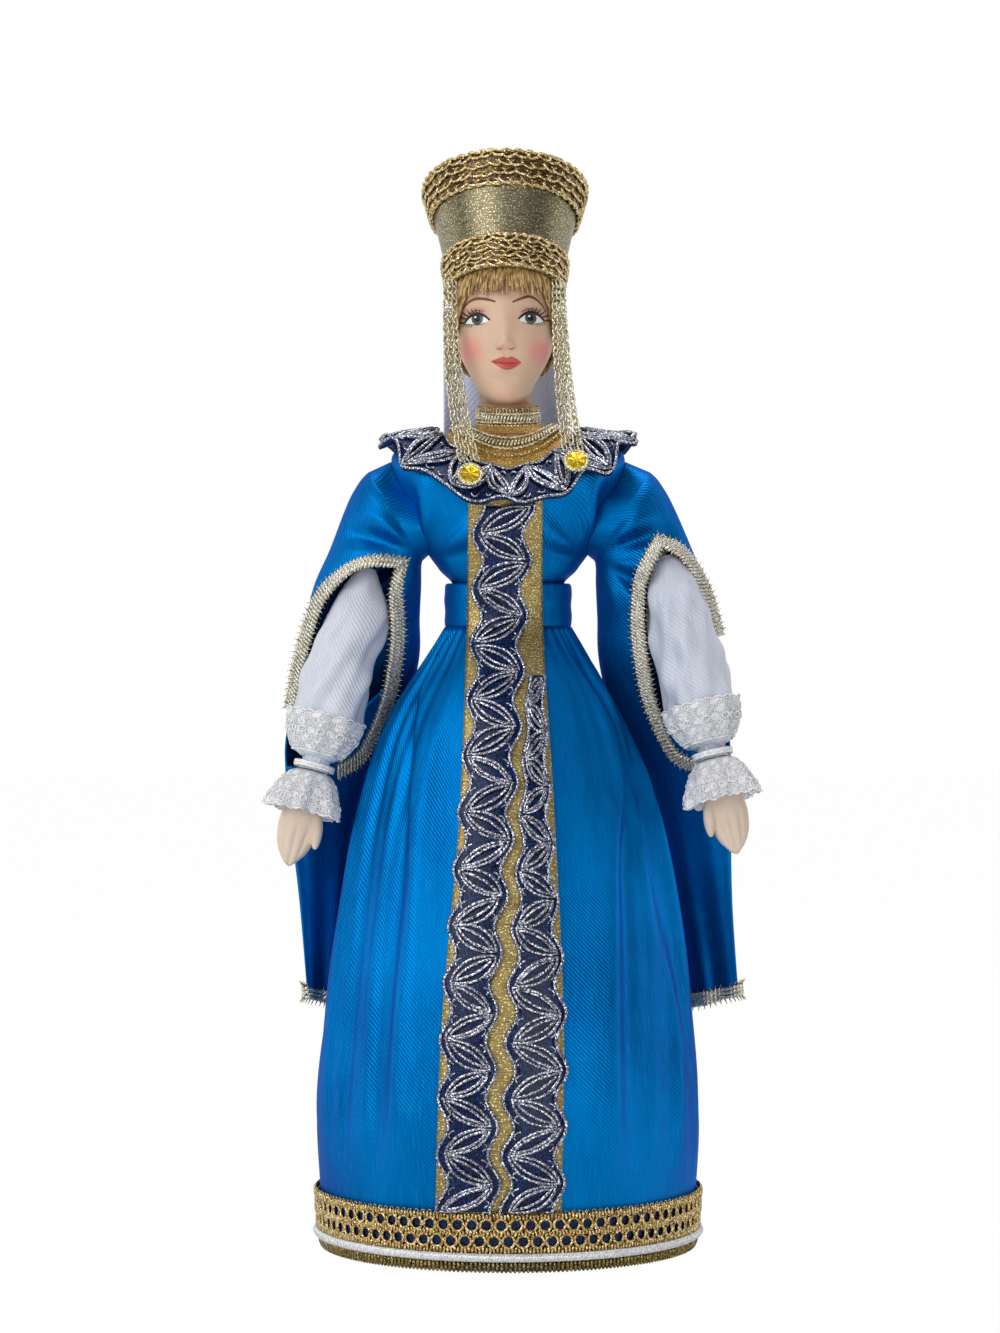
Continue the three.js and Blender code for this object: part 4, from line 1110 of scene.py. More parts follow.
# Hair: a combed cap below the hat and a cut fringe of fine strands
hair = {
    "fringe": 235.2, "back": 213.5, "top": 240.2, "capOut": 1.2,
    "strands": 92, "root": 240.4, "cut": 233.6, "strandOut": 1.7, "seed": 4,
}
around = fullTurn(260)
turn = np.abs(around)
temple = 9 * np.exp(-(((turn - 1.4) / 0.5) ** 2))
foot = hair["fringe"] + (hair["back"] + temple - hair["fringe"]) * ease(turn, 0.75, 1.35)
part = np.linspace(0, 1, 26)[:, None]
z = foot + (hair["top"] - foot) * part
comb = 0.16 * np.sin(around * 64 + 2 * np.sin(part * 5)) + 0.12 * np.sin(around * 41 + part * 3)
cap = onHead(headLow(z)[0], around[None, :] + 0 * z, 0.0, False)
out = np.stack([np.sin(around), -np.cos(around)], axis=-1)
cap[..., :2] += out[None] * (hair["capOut"] + comb)[..., None]
cap[..., 2] = z
hairCap = cloth("hairCap", cap, hairGold, 0.5, looped=True)
chance = np.random.default_rng(hair["seed"])
lines = []
for a in np.linspace(-1.22, 1.22, hair["strands"]):
    end = hair["cut"] + chance.uniform(-1.3, 1.5) - 3.4 * ease(abs(a), 0.75, 1.25)
    z = np.linspace(hair["root"], end, 9)
    lean = a + chance.uniform(-0.03, 0.03) * np.linspace(0, 1, 9)
    line = onHead(headLow(z)[0], lean, 0.0, False)
    push = hair["strandOut"] + chance.uniform(-0.15, 0.3)
    line[:, 0] += push * np.sin(lean)
    line[:, 1] -= push * np.cos(lean)
    line[:, 2] = z
    lines.append((line, False))
fringe = cords("fringe", lines, 0.3, 5, hairGold)
wear(joined("hairLocks", [hairCap, fringe]), "doll", "hair", "hair")
print("hair made")


# Shoulders: reach 0 at the neck, 1 at the yoke's edge, 2 at the collar's edge
shoulders = {
    "neck": 7.2, "neckZ": 201.0,
    "yoke": (16.0, 14.5, 198.3, 188.8), "collar": (30.6, 22.5, 196.4, 179.6),
}


def onShoulder(reach, a, lift):
    side = np.sin(a) ** 2
    yokeW, yokeD, yokeSide, yokeFront = shoulders["yoke"]
    collarW, collarD, collarSide, collarFront = shoulders["collar"]
    yokeZ = yokeFront + (yokeSide - yokeFront) * side
    collarZ = collarFront + (collarSide - collarFront) * side
    t, u = np.clip(reach, 0, 1), np.clip(reach - 1, 0, None)
    neck = shoulders["neck"]
    width = neck + (yokeW - neck) * t + (collarW - yokeW) * u
    depth = neck + (yokeD - neck) * t + (collarD - yokeD) * u
    z = shoulders["neckZ"] + (yokeZ - shoulders["neckZ"]) * t + (collarZ - yokeZ) * u
    return roundPoint(width, depth, a, z + lift)


around = fullTurn(160)
reach = np.linspace(1.06, 0.03, 22)[:, None]
pucker = 0.18 * np.sin(around * 22 + 2 * np.sin(around * 3)) * np.sin(np.pi * np.clip(reach, 0, 1))
yoke = cloth("yokeCloth", onShoulder(reach, around[None, :], 0.75 + pucker), goldSatin, 0.5, looped=True)
wear(yoke, "doll", "gold_cloth", "yoke")


# Neck braids: slanted ribs between two fine cords, with rows of loops or beads outside them
def neckBraid(name, at, count, rowsOut, node):
    a = evenTurn(count)
    p, up = at(0.5, a, 0.55), at(0.9, a, 0.55) - at(0.1, a, 0.55)
    ahead = at(0.5, a + 0.02, 0.55) - p
    slant = unit(up) + 0.35 * unit(ahead)
    parts = [setOut(name + "_ribs", shapes["rib"], [(p, slant, np.cross(ahead, up))], paleThread)]
    fine = evenTurn(240)
    edges = [(at(v + 0.05 * np.cos(fine * 60), fine, 0.5), True) for v in (0.06, 0.94)]
    parts.append(cords(name + "_edges", edges, 0.3, 5, paleThread))
    for v, shape in rowsOut:
        row = rowRound(at, v, count, 0, 0.3, 0.45)
        parts.append(setOut(name + "_" + shape, shapes[shape], [row], goldThread))
    return wear(joined(name, parts), "doll", "pale_braid", node)


choker = {"z": 202.3, "tall": 2.4, "dip": 0.9, "ribs": 58, "rows": ((1.28, "loop"), (-0.24, "bead"))}
lowBraid = {"reach": 0.66, "wide": 0.26, "lift": 1.35, "ribs": 84, "rows": ((-0.5, "bead"),)}


def atChoker(v, a, lift):
    radius = shoulders["neck"] + lift
    return roundPoint(radius, radius, a, choker["z"] + choker["tall"] * v - choker["dip"] * np.cos(a))


def atNeckBraid(v, a, lift):
    return onShoulder(lowBraid["reach"] - lowBraid["wide"] * v, a, lowBraid["lift"] + lift)


neckBraid("choker", atChoker, choker["ribs"], choker["rows"], "neck_choker")
neckBraid("neckBraid", atNeckBraid, lowBraid["ribs"], lowBraid["rows"], "neck_braid")
print("neck made")


# A twisted cord: short slanted strands along each line (points, outward directions, closed)
twist = {"thick": 0.3, "pitch": 0.62}


def rope(name, lines, thick, material, slant=0.55):
    rows = []
    for points, outward, closed in lines:
        points, outward = np.asarray(points, float), np.asarray(outward, float)
        if closed:
            points, outward = [np.concatenate([given, given[:1]]) for given in (points, outward)]
        gone = lengths(points)
        count = max(4, int(gone[-1] / (twist["pitch"] * thick / twist["thick"])))
        at = np.linspace(0, gone[-1], count, endpoint=not closed)
        p, n = readAlong(at, gone, points), readAlong(at, gone, outward)
        way = unit(np.gradient(p, axis=0))
        rows.append((p, way + slant * np.cross(n, way), n))
    return setOut(name, shapes["twist"], rows, material, thick / twist["thick"])


# Leaf braid: leaves of silver cord zigzag over a dark blue net, and both edges sway with them
leafLayers = ((1.0, 0.0, 0.7), (0.46, 0.08, 1.0))  # a leaf and the one in it: width, room at the ends, lift
leafChance = {"ends": (0.4, 0.07), "bulge": (0.75, 1.15)}


def leafBraid(name, at, long, step, leaf, node, closed=False):
    count = int(round(long / step))
    count += count % 2 if closed else 0
    step = long / count
    part = np.linspace(0, 1, 11)

    def sway(s):
        return -leaf["sway"] * np.cos(math.pi * s / step)

    def line(along, over, lift, shut=False):
        along = along % long if closed else np.clip(along, 0, long)
        p = at(along, over, lift)
        return p, at(along, over, lift + 0.5) - p, shut

    s = np.linspace(0, long, int(long / 0.9), endpoint=not closed)
    across = np.linspace(-1, 1, 9)[:, None] * (1 - leaf["sway"]) + sway(s)[None, :]
    parts = [cloth(name + "_net", at(s[None, :] + 0 * across, across, 0.0), navyNet, 0.4, looped=closed)]
    chance = np.random.default_rng(count)
    fine = np.linspace(0, long, int(long / 0.7), endpoint=not closed)
    edges = [line(fine, sign * (0.95 - leaf["sway"]) + sway(fine), 0.45, closed) for sign in (-1, 1)]
    leaves, hearts, curls = [], [], []
    for i in range(count):
        sign = 1 if i % 2 else -1
        reach = sign * leaf["reach"]
        ends = np.array([[i * step + 0.3, reach], [(i + 1) * step - 0.3, -reach]])
        root, tip = ends + chance.uniform(-1, 1, (2, 2)) * leafChance["ends"]
        for (wide, room, lift), made in zip(leafLayers, (leaves, hearts)):
            middle = root + (tip - root) * (room + (1 - 2 * room) * part)[:, None]
            bulge = leaf["wide"] * wide * np.sin(np.pi * part) ** 0.8
            sides = chance.uniform(*leafChance["bulge"], 2) * (1, -1)
            both = [middle + np.stack([k * bulge, sign * k * bulge * leaf["turn"]], axis=1) for k in sides]
            loop = np.concatenate([both[0], both[1][::-1][1:-1]])
            made.append((line(loop[:, 0], loop[:, 1], lift)[0], True))
        turn = np.linspace(0.3, 2.6, 6)
        for apart in (-0.28, 0.28):
            x = i * step + step * (apart + 0.14 * np.cos(turn))
            curls.append((line(x, -sign * (0.5 + 0.2 * np.sin(turn)) + sway(x), 0.45)[0], False))
    parts.append(rope(name + "_edges", edges, 0.4, silverThread))
    parts.append(cords(name + "_leaves", leaves, leaf["cord"], 6, silverThread))
    parts.append(cords(name + "_hearts", hearts, leaf["cord"] * 0.92, 6, silverThread))
    parts.append(cords(name + "_curls", curls, 0.26, 5, silverThread))
    return wear(joined(name, parts), "doll", "silver_braid", node)


# Front panel: gold lame, a leaf braid from collar to hem and one from below the belt to the hem
front = {
    "low": 14.3, "high": 183.0, "ribbonLift": 0.75, "braidLift": 1.7,
    "step": 6.7, "margin": 0.3, "spread": 0.62,
    "levels": [
        *[[z, skirtAt(z)[1]] for z in (14.3, 30, 58, 83, 108, 133, 144)],
        [151.8, 12.6], [162.4, 12.6], [170, 14.6], [176, 15.8], [183, 17.4],
    ],
    "ribbon": [[14.3, -17.2, 12.4], [55, -15.9, 13], [108, -11.6, 10.9], [150, -10.2, 8.6], [183, -9.7, 8.3]],
    "right": [[14.3, -15.8, -2.9], [55, -15, -3.9], [108, -10.8, 0.8], [150, -8, 3.4], [183, -7.2, 5.4]],
    "left": [[14.3, -0.9, 11.8], [55, 0.4, 12.6], [108, 3.3, 9.6], [140, 5, 8.4]],
    "leaf": {"reach": 0.74, "wide": 1.9, "turn": 0.12, "sway": 0.17, "cord": 0.45},
}
frontLevel = between(front["levels"])
frontBow = between([[z, skirtAt(z)[0] + 1.5] for z in (14.3, 58, 83, 108, 133, 151.8)] + [[183, 26]])


def onFront(x, z, lift):
    share = x / frontBow(z)[0]
    return np.stack([x + 0 * z, -frontLevel(z)[0] * np.sqrt(1 - share**2) - lift, z + 0 * x], axis=-1)


edges = between(front["ribbon"])
z = np.linspace(front["low"], front["high"], 150)[:, None]
left, right = edges(z)
x = left + (right - left) * np.linspace(0, 1, 26)[None, :]
pucker = 0.22 * np.sin(z * 0.9 + 2 * np.sin(x * 0.5)) * np.sin(np.linspace(0, np.pi, 26))[None, :]
ribbon = cloth("frontRibbon", onFront(x, z, front["ribbonLift"] + 0.45 + pucker), goldLame, 0.4)
wear(ribbon, "doll", "gold_cloth", "front_ribbon")
for side, high in (("right", 181.0), ("left", 140.0)):
    bounds = between(front[side])

    def atFront(s, w, lift):
        z = front["low"] + front["margin"] + s
        start, end = bounds(z)
        x = (start + end) / 2 + w * (end - start) * front["spread"]
        return onFront(x, z, front["braidLift"] + lift)

    long = high - front["low"] - 2 * front["margin"]
    leafBraid("frontBraid_" + side, atFront, long, front["step"], front["leaf"], "front_braid_" + side)
print("front panel made")

# Collar: the same braid gathered round the shoulders
collar = {
    "long": 160.0, "step": 5.7, "reach": 1.56, "half": 0.52, "wave": 1.1,
    "leaf": {"reach": 0.86, "wide": 2.1, "turn": 0.0, "sway": 0.06, "cord": 0.5},
}


def atCollar(s, w, lift):
    a = s / collar["long"] * 2 * math.pi
    reach = collar["reach"] - collar["half"] * w - 0.05 * np.cos(14 * a) * (w < 0) * w
    wave = collar["wave"] * (reach - 1) ** 2 * (np.cos(11 * a) + 0.6 * np.cos(17 * a + 1))
    low = onShoulder(reach, a, 1.9 + wave)
    high = onShoulder(reach, a, 2.9 + wave)
    out = np.stack([np.sin(a), -np.cos(a) + 0 * a, 0 * a], axis=-1)
    return low + ((high - low) * 0.85 + out * 0.5) * np.asarray(lift)[..., None]


leafBraid("collarBraid", atCollar, collar["long"], collar["step"], collar["leaf"], "collar", True)
print("collar made")

# Hem: a gold net with two rows of round cells, a white cord and a dark edge braid
hem = {
    "netLow": 5.3, "netHigh": 13.6, "cells": 86, "cellRows": (7.55, 11.35), "loopZ": 14.0,
    "bars": ((5.5, 0.16), (9.45, 0.3), (13.4, 0.16)), "cordZ": 3.75, "cordTwists": 150,
    "edge": ((1.08, 0.9), (1.75, 1.1), (2.3, 0.8)),
}


def onHem(a, z, out):
    radius = skirtAt(z)[0] + out
    return roundPoint(radius, radius, a, z)


def hemRow(count, shift, z, out):
    a = evenTurn(count, shift)
    return onHem(a, np.full(count, z), out), np.stack([np.cos(a), np.sin(a), 0 * a], axis=1), (0, 0, 1.0)


around = fullTurn(240)
heights = np.linspace(hem["netLow"], hem["netHigh"], 8)[:, None]
ground = cloth("hemNet_ground", onHem(around[None, :], heights + 0 * around, 0.75), navyNet, 0.3, looped=True)
cellRows = [hemRow(hem["cells"], 0.5 * row, z, 1.2) for row, z in enumerate(hem["cellRows"])]
cells = setOut("hemNet_cells", shapes["cell"], cellRows, hemGold)
fine = fullTurn(520)
lines = []
for z, swing in hem["bars"]:
    p = onHem(fine, z + swing * np.sin(fine * hem["cells"]), 1.35)
    lines.append((p, p * [1, 1, 0], True))
bars = rope("hemNet_bars", lines, 0.42, hemGold)
loops = setOut("hemNet_loops", shapes["loop"], [hemRow(2 * hem["cells"], 0, hem["loopZ"], 1.1)], hemGold)
wear(joined("hemNet", [ground, cells, bars, loops]), "doll", "gold_braid", "hem_net_braid")
around = fullTurn(900)
lines = []
for k in range(3):
    phase = around * hem["cordTwists"] + k * 2 * math.pi / 3
    lines.append((onHem(around, hem["cordZ"] + 0.55 * np.sin(phase), 1.5 + 0.55 * np.cos(phase)), True))
hemCord = cords("hemCord", lines, 0.62, 6, whiteCord)
wear(hemCord, "doll", "white_lace", "hem_cord")
lines = []
for z, out in hem["edge"]:
    p = onHem(fine, z + 0 * fine, out)
    lines.append((p, p * [1, 1, 0], True))
hemEdge = rope("hemEdge", lines, 0.5, oliveThread)
wear(hemEdge, "doll", "gold_braid", "hem_edge_braid")
print("hem made")


# Pendants: three chains from the hat's edge, spreading downward, and a foil sequin
pendant = {
    "top": 0.95, "foot": 1.9, "pitch": 1.62, "lean": 0.6, "wide": 2.75, "tall": 3.05, "inset": 0.05,
    "disc": (
        (0.02, 0.62), (0.3, 0.6), (0.55, 0.55), (0.75, 0.5), (0.9, 0.42), (1.0, 0.0),
        (0.9, -0.45), (0.02, -0.55),
    ),
}
for side, data in sleeves.items():
    sign = data["sign"]
    p0, p1, p2 = [np.array(p) * [sign, 1, 1] for p in data["pendant"]]
    share = np.linspace(0, 1, 60)
    t = share[:, None]
    path = (1 - t) ** 2 * p0 + 2 * t * (1 - t) * p1 + t**2 * p2
    gone = lengths(path)
    at = np.arange(0.4, gone[-1], pendant["pitch"])
    turn = np.where(np.arange(len(at)) % 2 == 0, 1.0, -1.0)[:, None]
    spread = pendant["top"] + (pendant["foot"] - pendant["top"]) * share
    rows = []
    for k in (-1, 0, 1):
        strand = path + np.stack([k * spread, 0 * share - 0.2 * (k == 0), 0 * share], axis=1)
        p = readAlong(at, gone, strand)
        aim = np.gradient(p, axis=0) + turn * np.array([0.35, 0, 0])
        rows.append((p, aim, np.array([1.0, 0, 0]) + turn * np.array([0, 0.75, 0])))
    chains = setOut("pendantChains_" + side, shapes["chain"], rows, paleThread)
    wear(chains, "pendant_" + side, "pale_braid", "pendant_chains_" + side)
    turn = evenTurn(40)
    c, s = math.cos(pendant["lean"]), math.sin(pendant["lean"])
    tilt = np.array([[1, 0, 0], [0, c, s], [0, -s, c]])
    middle = np.array(data["sequin"]) * [sign, 1, 1]
    dent = 0.05 * np.cos(turn * 7)
    wide, tall = pendant["wide"], pendant["tall"]
    rings = np.stack([
        np.stack([wide * r * np.cos(turn), 0 * turn - h + dent * r, tall * r * np.sin(turn)], axis=1)
        for r, h in pendant["disc"]
    ])
    disc = skin("sequin_" + side, (rings @ tilt.T + middle)[::-1], yellowFoil)
    wide, tall = wide - pendant["inset"], tall - pendant["inset"]
    rim = np.stack([wide * np.cos(turn), 0 * turn - 0.35, tall * np.sin(turn)], axis=1) @ tilt.T + middle
    outward = np.broadcast_to(tilt @ np.array([0, -1.0, 0]), rim.shape)
    edge = rope("sequinRim_" + side, [(rim, outward, True)], 0.34, paleThread)
    wear(joined("sequin_" + side, [disc, edge]), "pendant_" + side, "sequin", "pendant_sequin_" + side)
print("pendants made")


# Slit braids: four pale cords side by side with picot spikes, on the sleeve round its slit
slitBraid = {"middle": (42, 145), "tall": 2.2, "cords": (0.4, 1.1, 1.8, 2.5), "lift": 0.75, "pitch": 1.5}
cuffBraid = {"cords": (0.02, 0.06, 0.1), "picots": ((0.01, -1.0), (0.11, 1.0)), "out": 0.9}
picot = {"up": (0, -1.0, 0.2), "size": 1.15}


# Places on the front of a sleeve, smoothed along their line
def frontOfSleeve(side, xs, zs, lift):
    level = np.linspace(0, 8.6, 130)[:, None]
    a = np.linspace(-1.5, 1.5, 90)[None, :]
    near = onSleeve(side, level, a, 0.0).reshape(-1, 3)
    points = []
    for x, z in zip(xs, zs):
        nearest = np.argsort((near[:, 0] - x) ** 2 + (near[:, 2] - z) ** 2)[:4]
        points.append([x, near[nearest, 1].mean() - lift, z])
    points = np.array(points)
    for again in range(3):
        points[1:-1, 1] = (points[:-2, 1] + points[1:-1, 1] * 2 + points[2:, 1]) / 4
    return points


for side, data in sleeves.items():
    sign = data["sign"]
    inner = spline(data["slit"], 90)[::-1]
    outer = np.array([p for p in data["slitOut"] if p[1] > 146 and p[0] < 55], float)[::-1]
    outer = np.concatenate([outer, np.array(data["leg"], float).reshape(-1, 2)])
    edge = np.concatenate([inner, spline(np.concatenate([inner[-1:], outer]), 60)[1:]])
    away = unit((edge - slitBraid["middle"]) / [1, slitBraid["tall"]])
    lines = []
    for out in slitBraid["cords"]:
        p = edge + away * out
        line = frontOfSleeve(side, sign * p[:, 0], p[:, 1], slitBraid["lift"])
        lines.append((line, np.broadcast_to([0, -1.0, 0], line.shape), False))
    rows = []
    for line, way in ((lines[0][0], -1), (lines[-1][0], 1)):
        gone = lengths(line)
        at = np.arange(0.5, gone[-1], slitBraid["pitch"])
        x, z = readAlong(at, gone, away).T
        aim = np.stack([x * sign * way, np.full(len(at), -0.35), z * way], axis=1)
        rows.append((readAlong(at, gone, line), aim, picot["up"]))
    picots = setOut("slitBraid_picots", shapes["spike"], rows, goldThread, picot["size"])
    braid = joined("slitBraid_" + side, [rope("slitBraid_cords", lines, 0.46, paleBraid, 1.6), picots])
    bendWith(braid, side, "pale_braid", "slit_braid_" + side)

    def onCuff(level, count):
        a, level = fullTurn(count), np.full(count, level)
        p = onSleeve(side, level, a, cuffBraid["out"])
        return p, p - onSleeve(side, level, a, 0.0)

    lines = [(*onCuff(level, 160), True) for level in cuffBraid["cords"]]
    rows = []
    for level, drop in cuffBraid["picots"]:
        p, out = onCuff(level, 44)
        rows.append((p, out * 0.8 + [0, 0, drop], picot["up"]))
    picots = setOut("cuff_picots", shapes["spike"], rows, goldThread, picot["size"])
    cuff = joined("cuffBraid_" + side, [rope("cuff_cords", lines, 0.5, paleBraid, 1.6), picots])
    wear(cuff, "sleeve_" + side, "pale_braid", "cuff_braid_" + side)
print("sleeve braids made")


# Lace: a see-through net with rings, flowers and a scalloped edge worked on it
def lacePaint(place, flat):
    across, up = flat.axes()[:2]
    grain = flat.noise(3.0, 2.0)
    net = (across * 5.2).wave() * (up * 5.2).wave()
    motif = (across * 1.35 + (up * 1.1).wave()).wave() * (up * 1.5).wave()
    solidPart = net.size().fade(0.12, 0.45) * 0.5 + motif.fade(0.1, 0.5) * 0.6 + 0.22
    tone = mixed(grain, colour(236, 236, 240), colour(252, 252, 252))
    return {"Base Color": tone, "Alpha": solidPart, "Roughness": grain * 0.2 + 0.5}


laceNet = finish("laceNet", lacePaint)
laceThread = thread("laceThread", (220, 220, 224), (244, 244, 244), (255, 255, 255), 900)
veilCloth = satin("veilCloth", (198, 208, 240), (214, 222, 248), (234, 240, 255), 5.0)


def laceWork(name, net, rings, flowers, edges):
    parts = [net]
    parts.append(setOut(name + "_rings", shapes["lace"], rings, laceThread))
    parts.append(setOut(name + "_flowers", shapes["flower"], [flowers], laceThread))
    parts.append(cords(name + "_edge", [(edge, True) for edge in edges], 0.2, 5, laceThread))
    return joined(name, parts)


# The turn that brings straight down to a direction
def turnTo(direction):
    start = np.array([0, 0, -1.0])
    axis, c = np.cross(start, direction), float(start @ direction)
    k = np.array([[0, -axis[2], axis[1]], [axis[2], 0, -axis[0]], [-axis[1], axis[0], 0]])
    return np.eye(3) + k + k @ k / (1 + c)


# Puffed satin: the cloth is cut larger than the arm and blown up between its tied ends
fabricSettings = {
    "quality": 6, "mass": 0.3, "tension_stiffness": 20, "compression_stiffness": 20, "bending_stiffness": 0.6,
    "vertex_group_mass": "tied", "shrink_min": -0.13, "use_pressure": True, "uniform_pressure_force": 1.2,
}
fabricWork = {"scale": 0.1, "steps": 20}


def puff(grid, most):
    rows, columns = grid.shape[:2]
    still = grid.reshape(-1, 3)
    mesh = bpy.data.meshes.new("puff")
    mesh.from_pydata((still * fabricWork["scale"]).tolist(), [], ringFaces(rows, columns))
    blown = addObject("puff", mesh)
    tied = blown.vertex_groups.new(name="tied")
    for r in (0, 1, rows - 2, rows - 1):
        tied.add(list(range(r * columns, (r + 1) * columns)), 1.0, "REPLACE")
    fabric = blown.modifiers.new("fabric", "CLOTH")
    for key, value in fabricSettings.items():
        setattr(fabric.settings, key, value)
    fabric.settings.effector_weights.gravity = 0.0
    fabric.collision_settings.use_collision = False
    fabric.point_cache.frame_start = 1
    fabric.point_cache.frame_end = fabricWork["steps"]
    for step in range(1, fabricWork["steps"] + 1):
        scene.frame_set(step)
    shown = blown.evaluated_get(bpy.context.evaluated_depsgraph_get())
    moved = np.array([v.co for v in shown.data.vertices]) / fabricWork["scale"]
    scene.frame_set(1)
    bpy.data.objects.remove(blown)
    shift = moved - still
    far = np.linalg.norm(shift, axis=1, keepdims=True)
    return (still + shift * np.minimum(1, most / np.maximum(far, 1e-6))).reshape(grid.shape)


# Arms: places are given along each arm, with zero at its top and the wrist at minus its length
arm = {"wrist": 3.9, "puff": 8.2, "top": 2.4, "wrinkle": 0.62, "gather": 0.35, "most": 1.2, "tie": (0.8, 1.5)}
laceBand = {
    "low": 4.2, "high": 13.2, "out": 1.15, "scallop": 0.5, "scallops": 11,
    "rows": (5.2, 6.3, 7.4, 10.4, 11.5), "rings": 40, "flowerRow": 8.9, "flowers": 22,
}
ruffle = {
    "start": 4.3, "end": 8.4, "long": 9.6, "scallop": 0.06, "scallops": 12,
    "rows": (0.25, 0.38, 0.5, 0.62, 0.9), "rings": 34, "flowerRow": 0.76, "flowers": 24,
}
handShape = {
    "rows": [
        [0, 2.7, 2.7], [2, 2.9, 2.9], [5.5, 3.1, 3.0], [9, 4.4, 3.1], [13, 5.0, 3.0], [16, 4.7, 2.6],
        [19, 3.9, 2.2], [21.4, 2.7, 1.7], [22.8, 1.3, 0.9], [23.2, 0.3, 0.25],
    ],
    "grooves": (-0.52, 0.0, 0.52), "groove": 0.5, "thumb": 1.55, "voxel": 0.28,
}
handAt = between(handShape["rows"])
for side, data in sleeves.items():
    sign, full = data["sign"], data["full"]
    top, wrist = [np.array(data[k], float) * [sign, 1, 1] for k in ("top", "wrist")]
    long = np.linalg.norm(wrist - top)
    turned = turnTo((wrist - top) / long)
    puffAt = between([
        [-long, arm["wrist"]], [-long + 3, 4.3], [-long + 7, 6.6],
        [-long + 12, arm["puff"]], [-long + 20, arm["puff"]], [-long + 30, 7.4 + 0.5 * full],
        [-9, 5.6 + 1.2 * full], [-1, 3.0 + 1.6 * full], [arm["top"], 2.2 + 1.2 * full],
    ])

    def onArm(local):
        return np.asarray(local) @ turned.T + top

    def ringAt(z, out, a):
        radius = puffAt(z)[0] + out
        wide = data["wide"] * np.exp(-(((z + 5) / 8) ** 2))
        inward = 1 + wide * (1 - sign * np.sin(a)) / 2
        return roundPoint(radius * inward, radius, a, z)

    def onBand(rise, a, out):
        wave = 0.35 * np.cos(9 * a + 0.5)
        return onArm(ringAt(-long + rise, laceBand["out"] + out + wave, a))

    def onRuffle(part, a, out):
        wave = (1.2 * np.cos(8 * a) + 0.5 * np.cos(13 * a + 1)) * part
        radius = ruffle["start"] + (ruffle["end"] - ruffle["start"]) * np.sqrt(part) + wave + out
        return onArm(roundPoint(radius, radius, a, -long - 0.3 - part * ruffle["long"]))

    around = fullTurn(72)
    z = np.linspace(-long, arm["top"], 64)[:, None]
    waves = np.cos(5 * around + z * 0.3 * sign) + 0.6 * np.cos(9 * around - z * 0.34)
    waves = waves + 0.4 * np.sin(z * 0.55 + 2 * around)
    crease = arm["wrinkle"] * ease(puffAt(z)[0], arm["wrist"], arm["puff"]) * waves
    gather = arm["gather"] * np.cos(24 * around) * np.exp(-(((z + long - 4.5) / 3) ** 2))
    grid = puff(ringAt(z + 0 * around, crease + gather - 0.3, around[None, :]), arm["most"])
    sleeve = cloth("undersleeve_" + side, onArm(grid), whiteSatin, 0.4, looped=True)
    smooth = sleeve.modifiers.new("smooth", "SUBSURF")
    smooth.levels = smooth.render_levels = 1
    settle(sleeve)
    wear(sleeve, "arm_" + side, "white_satin", "undersleeve_" + side)
    long * mm + 0.008

    fine = fullTurn(120)
    rise = np.linspace(laceBand["low"], laceBand["high"], 12)[:, None]
    scallop = laceBand["scallop"] * np.abs(np.sin(fine * laceBand["scallops"])) * (rise > 13)
    net = cloth("laceBand_net", onBand(rise + scallop, fine[None, :], 0.0), laceNet, 0.15, looped=True)
    rings = [
        rowRound(onBand, level, laceBand["rings"], 0.5 * (row % 2), 0.5, 0.1)
        for row, level in enumerate(laceBand["rows"])
    ]
    flowers = rowRound(onBand, laceBand["flowerRow"], laceBand["flowers"], 0, 0.5, 0.2)
    rim = fullTurn(240)
    scallop = laceBand["scallop"] * np.abs(np.sin(rim * laceBand["scallops"]))
    edges = [onBand(laceBand["high"] + scallop, rim, 0.1), onBand(laceBand["low"] + 0 * rim, rim, 0.1)]
    band = laceWork("laceBand_" + side, net, rings, flowers, edges)
    wear(band, "arm_" + side, "white_lace", "lace_band_" + side)

    lines = []
    for rise in arm["tie"]:
        p = onArm(ringAt(-long + rise + 0 * fine, 0.75, fine))
        lines.append((p, p - onArm(ringAt(-long + rise + 0 * fine, 0.0, fine)), True))
    wear(rope("wristTie_" + side, lines, 0.36, laceThread), "arm_" + side, "white_lace", "wrist_tie_" + side)

    fine = fullTurn(160)
    part = np.linspace(1, 0, 14)[:, None]
    hang = ruffle["scallop"] * np.abs(np.sin(fine * ruffle["scallops"])) * (part > 0.99)
    grid = onRuffle(np.clip(part + hang, 0, 1.1), fine[None, :], 0.0)
    net = cloth("ruffle_net", grid, laceNet, 0.15, looped=True)
    rings = [
        rowRound(onRuffle, level, ruffle["rings"] + row * 4, 0.5 * (row % 2), -0.05, 0.1)
        for row, level in enumerate(ruffle["rows"])
    ]
    flowers = rowRound(onRuffle, ruffle["flowerRow"], ruffle["flowers"], 0, -0.06, 0.15)
    rim = fullTurn(320)
    hang = ruffle["scallop"] * np.abs(np.sin(rim * ruffle["scallops"]))
    frill = laceWork("laceRuffle_" + side, net, rings, flowers, [onRuffle(1.0 + hang, rim, 0.0)])
    wear(frill, "arm_" + side, "white_lace", "lace_ruffle_" + side)

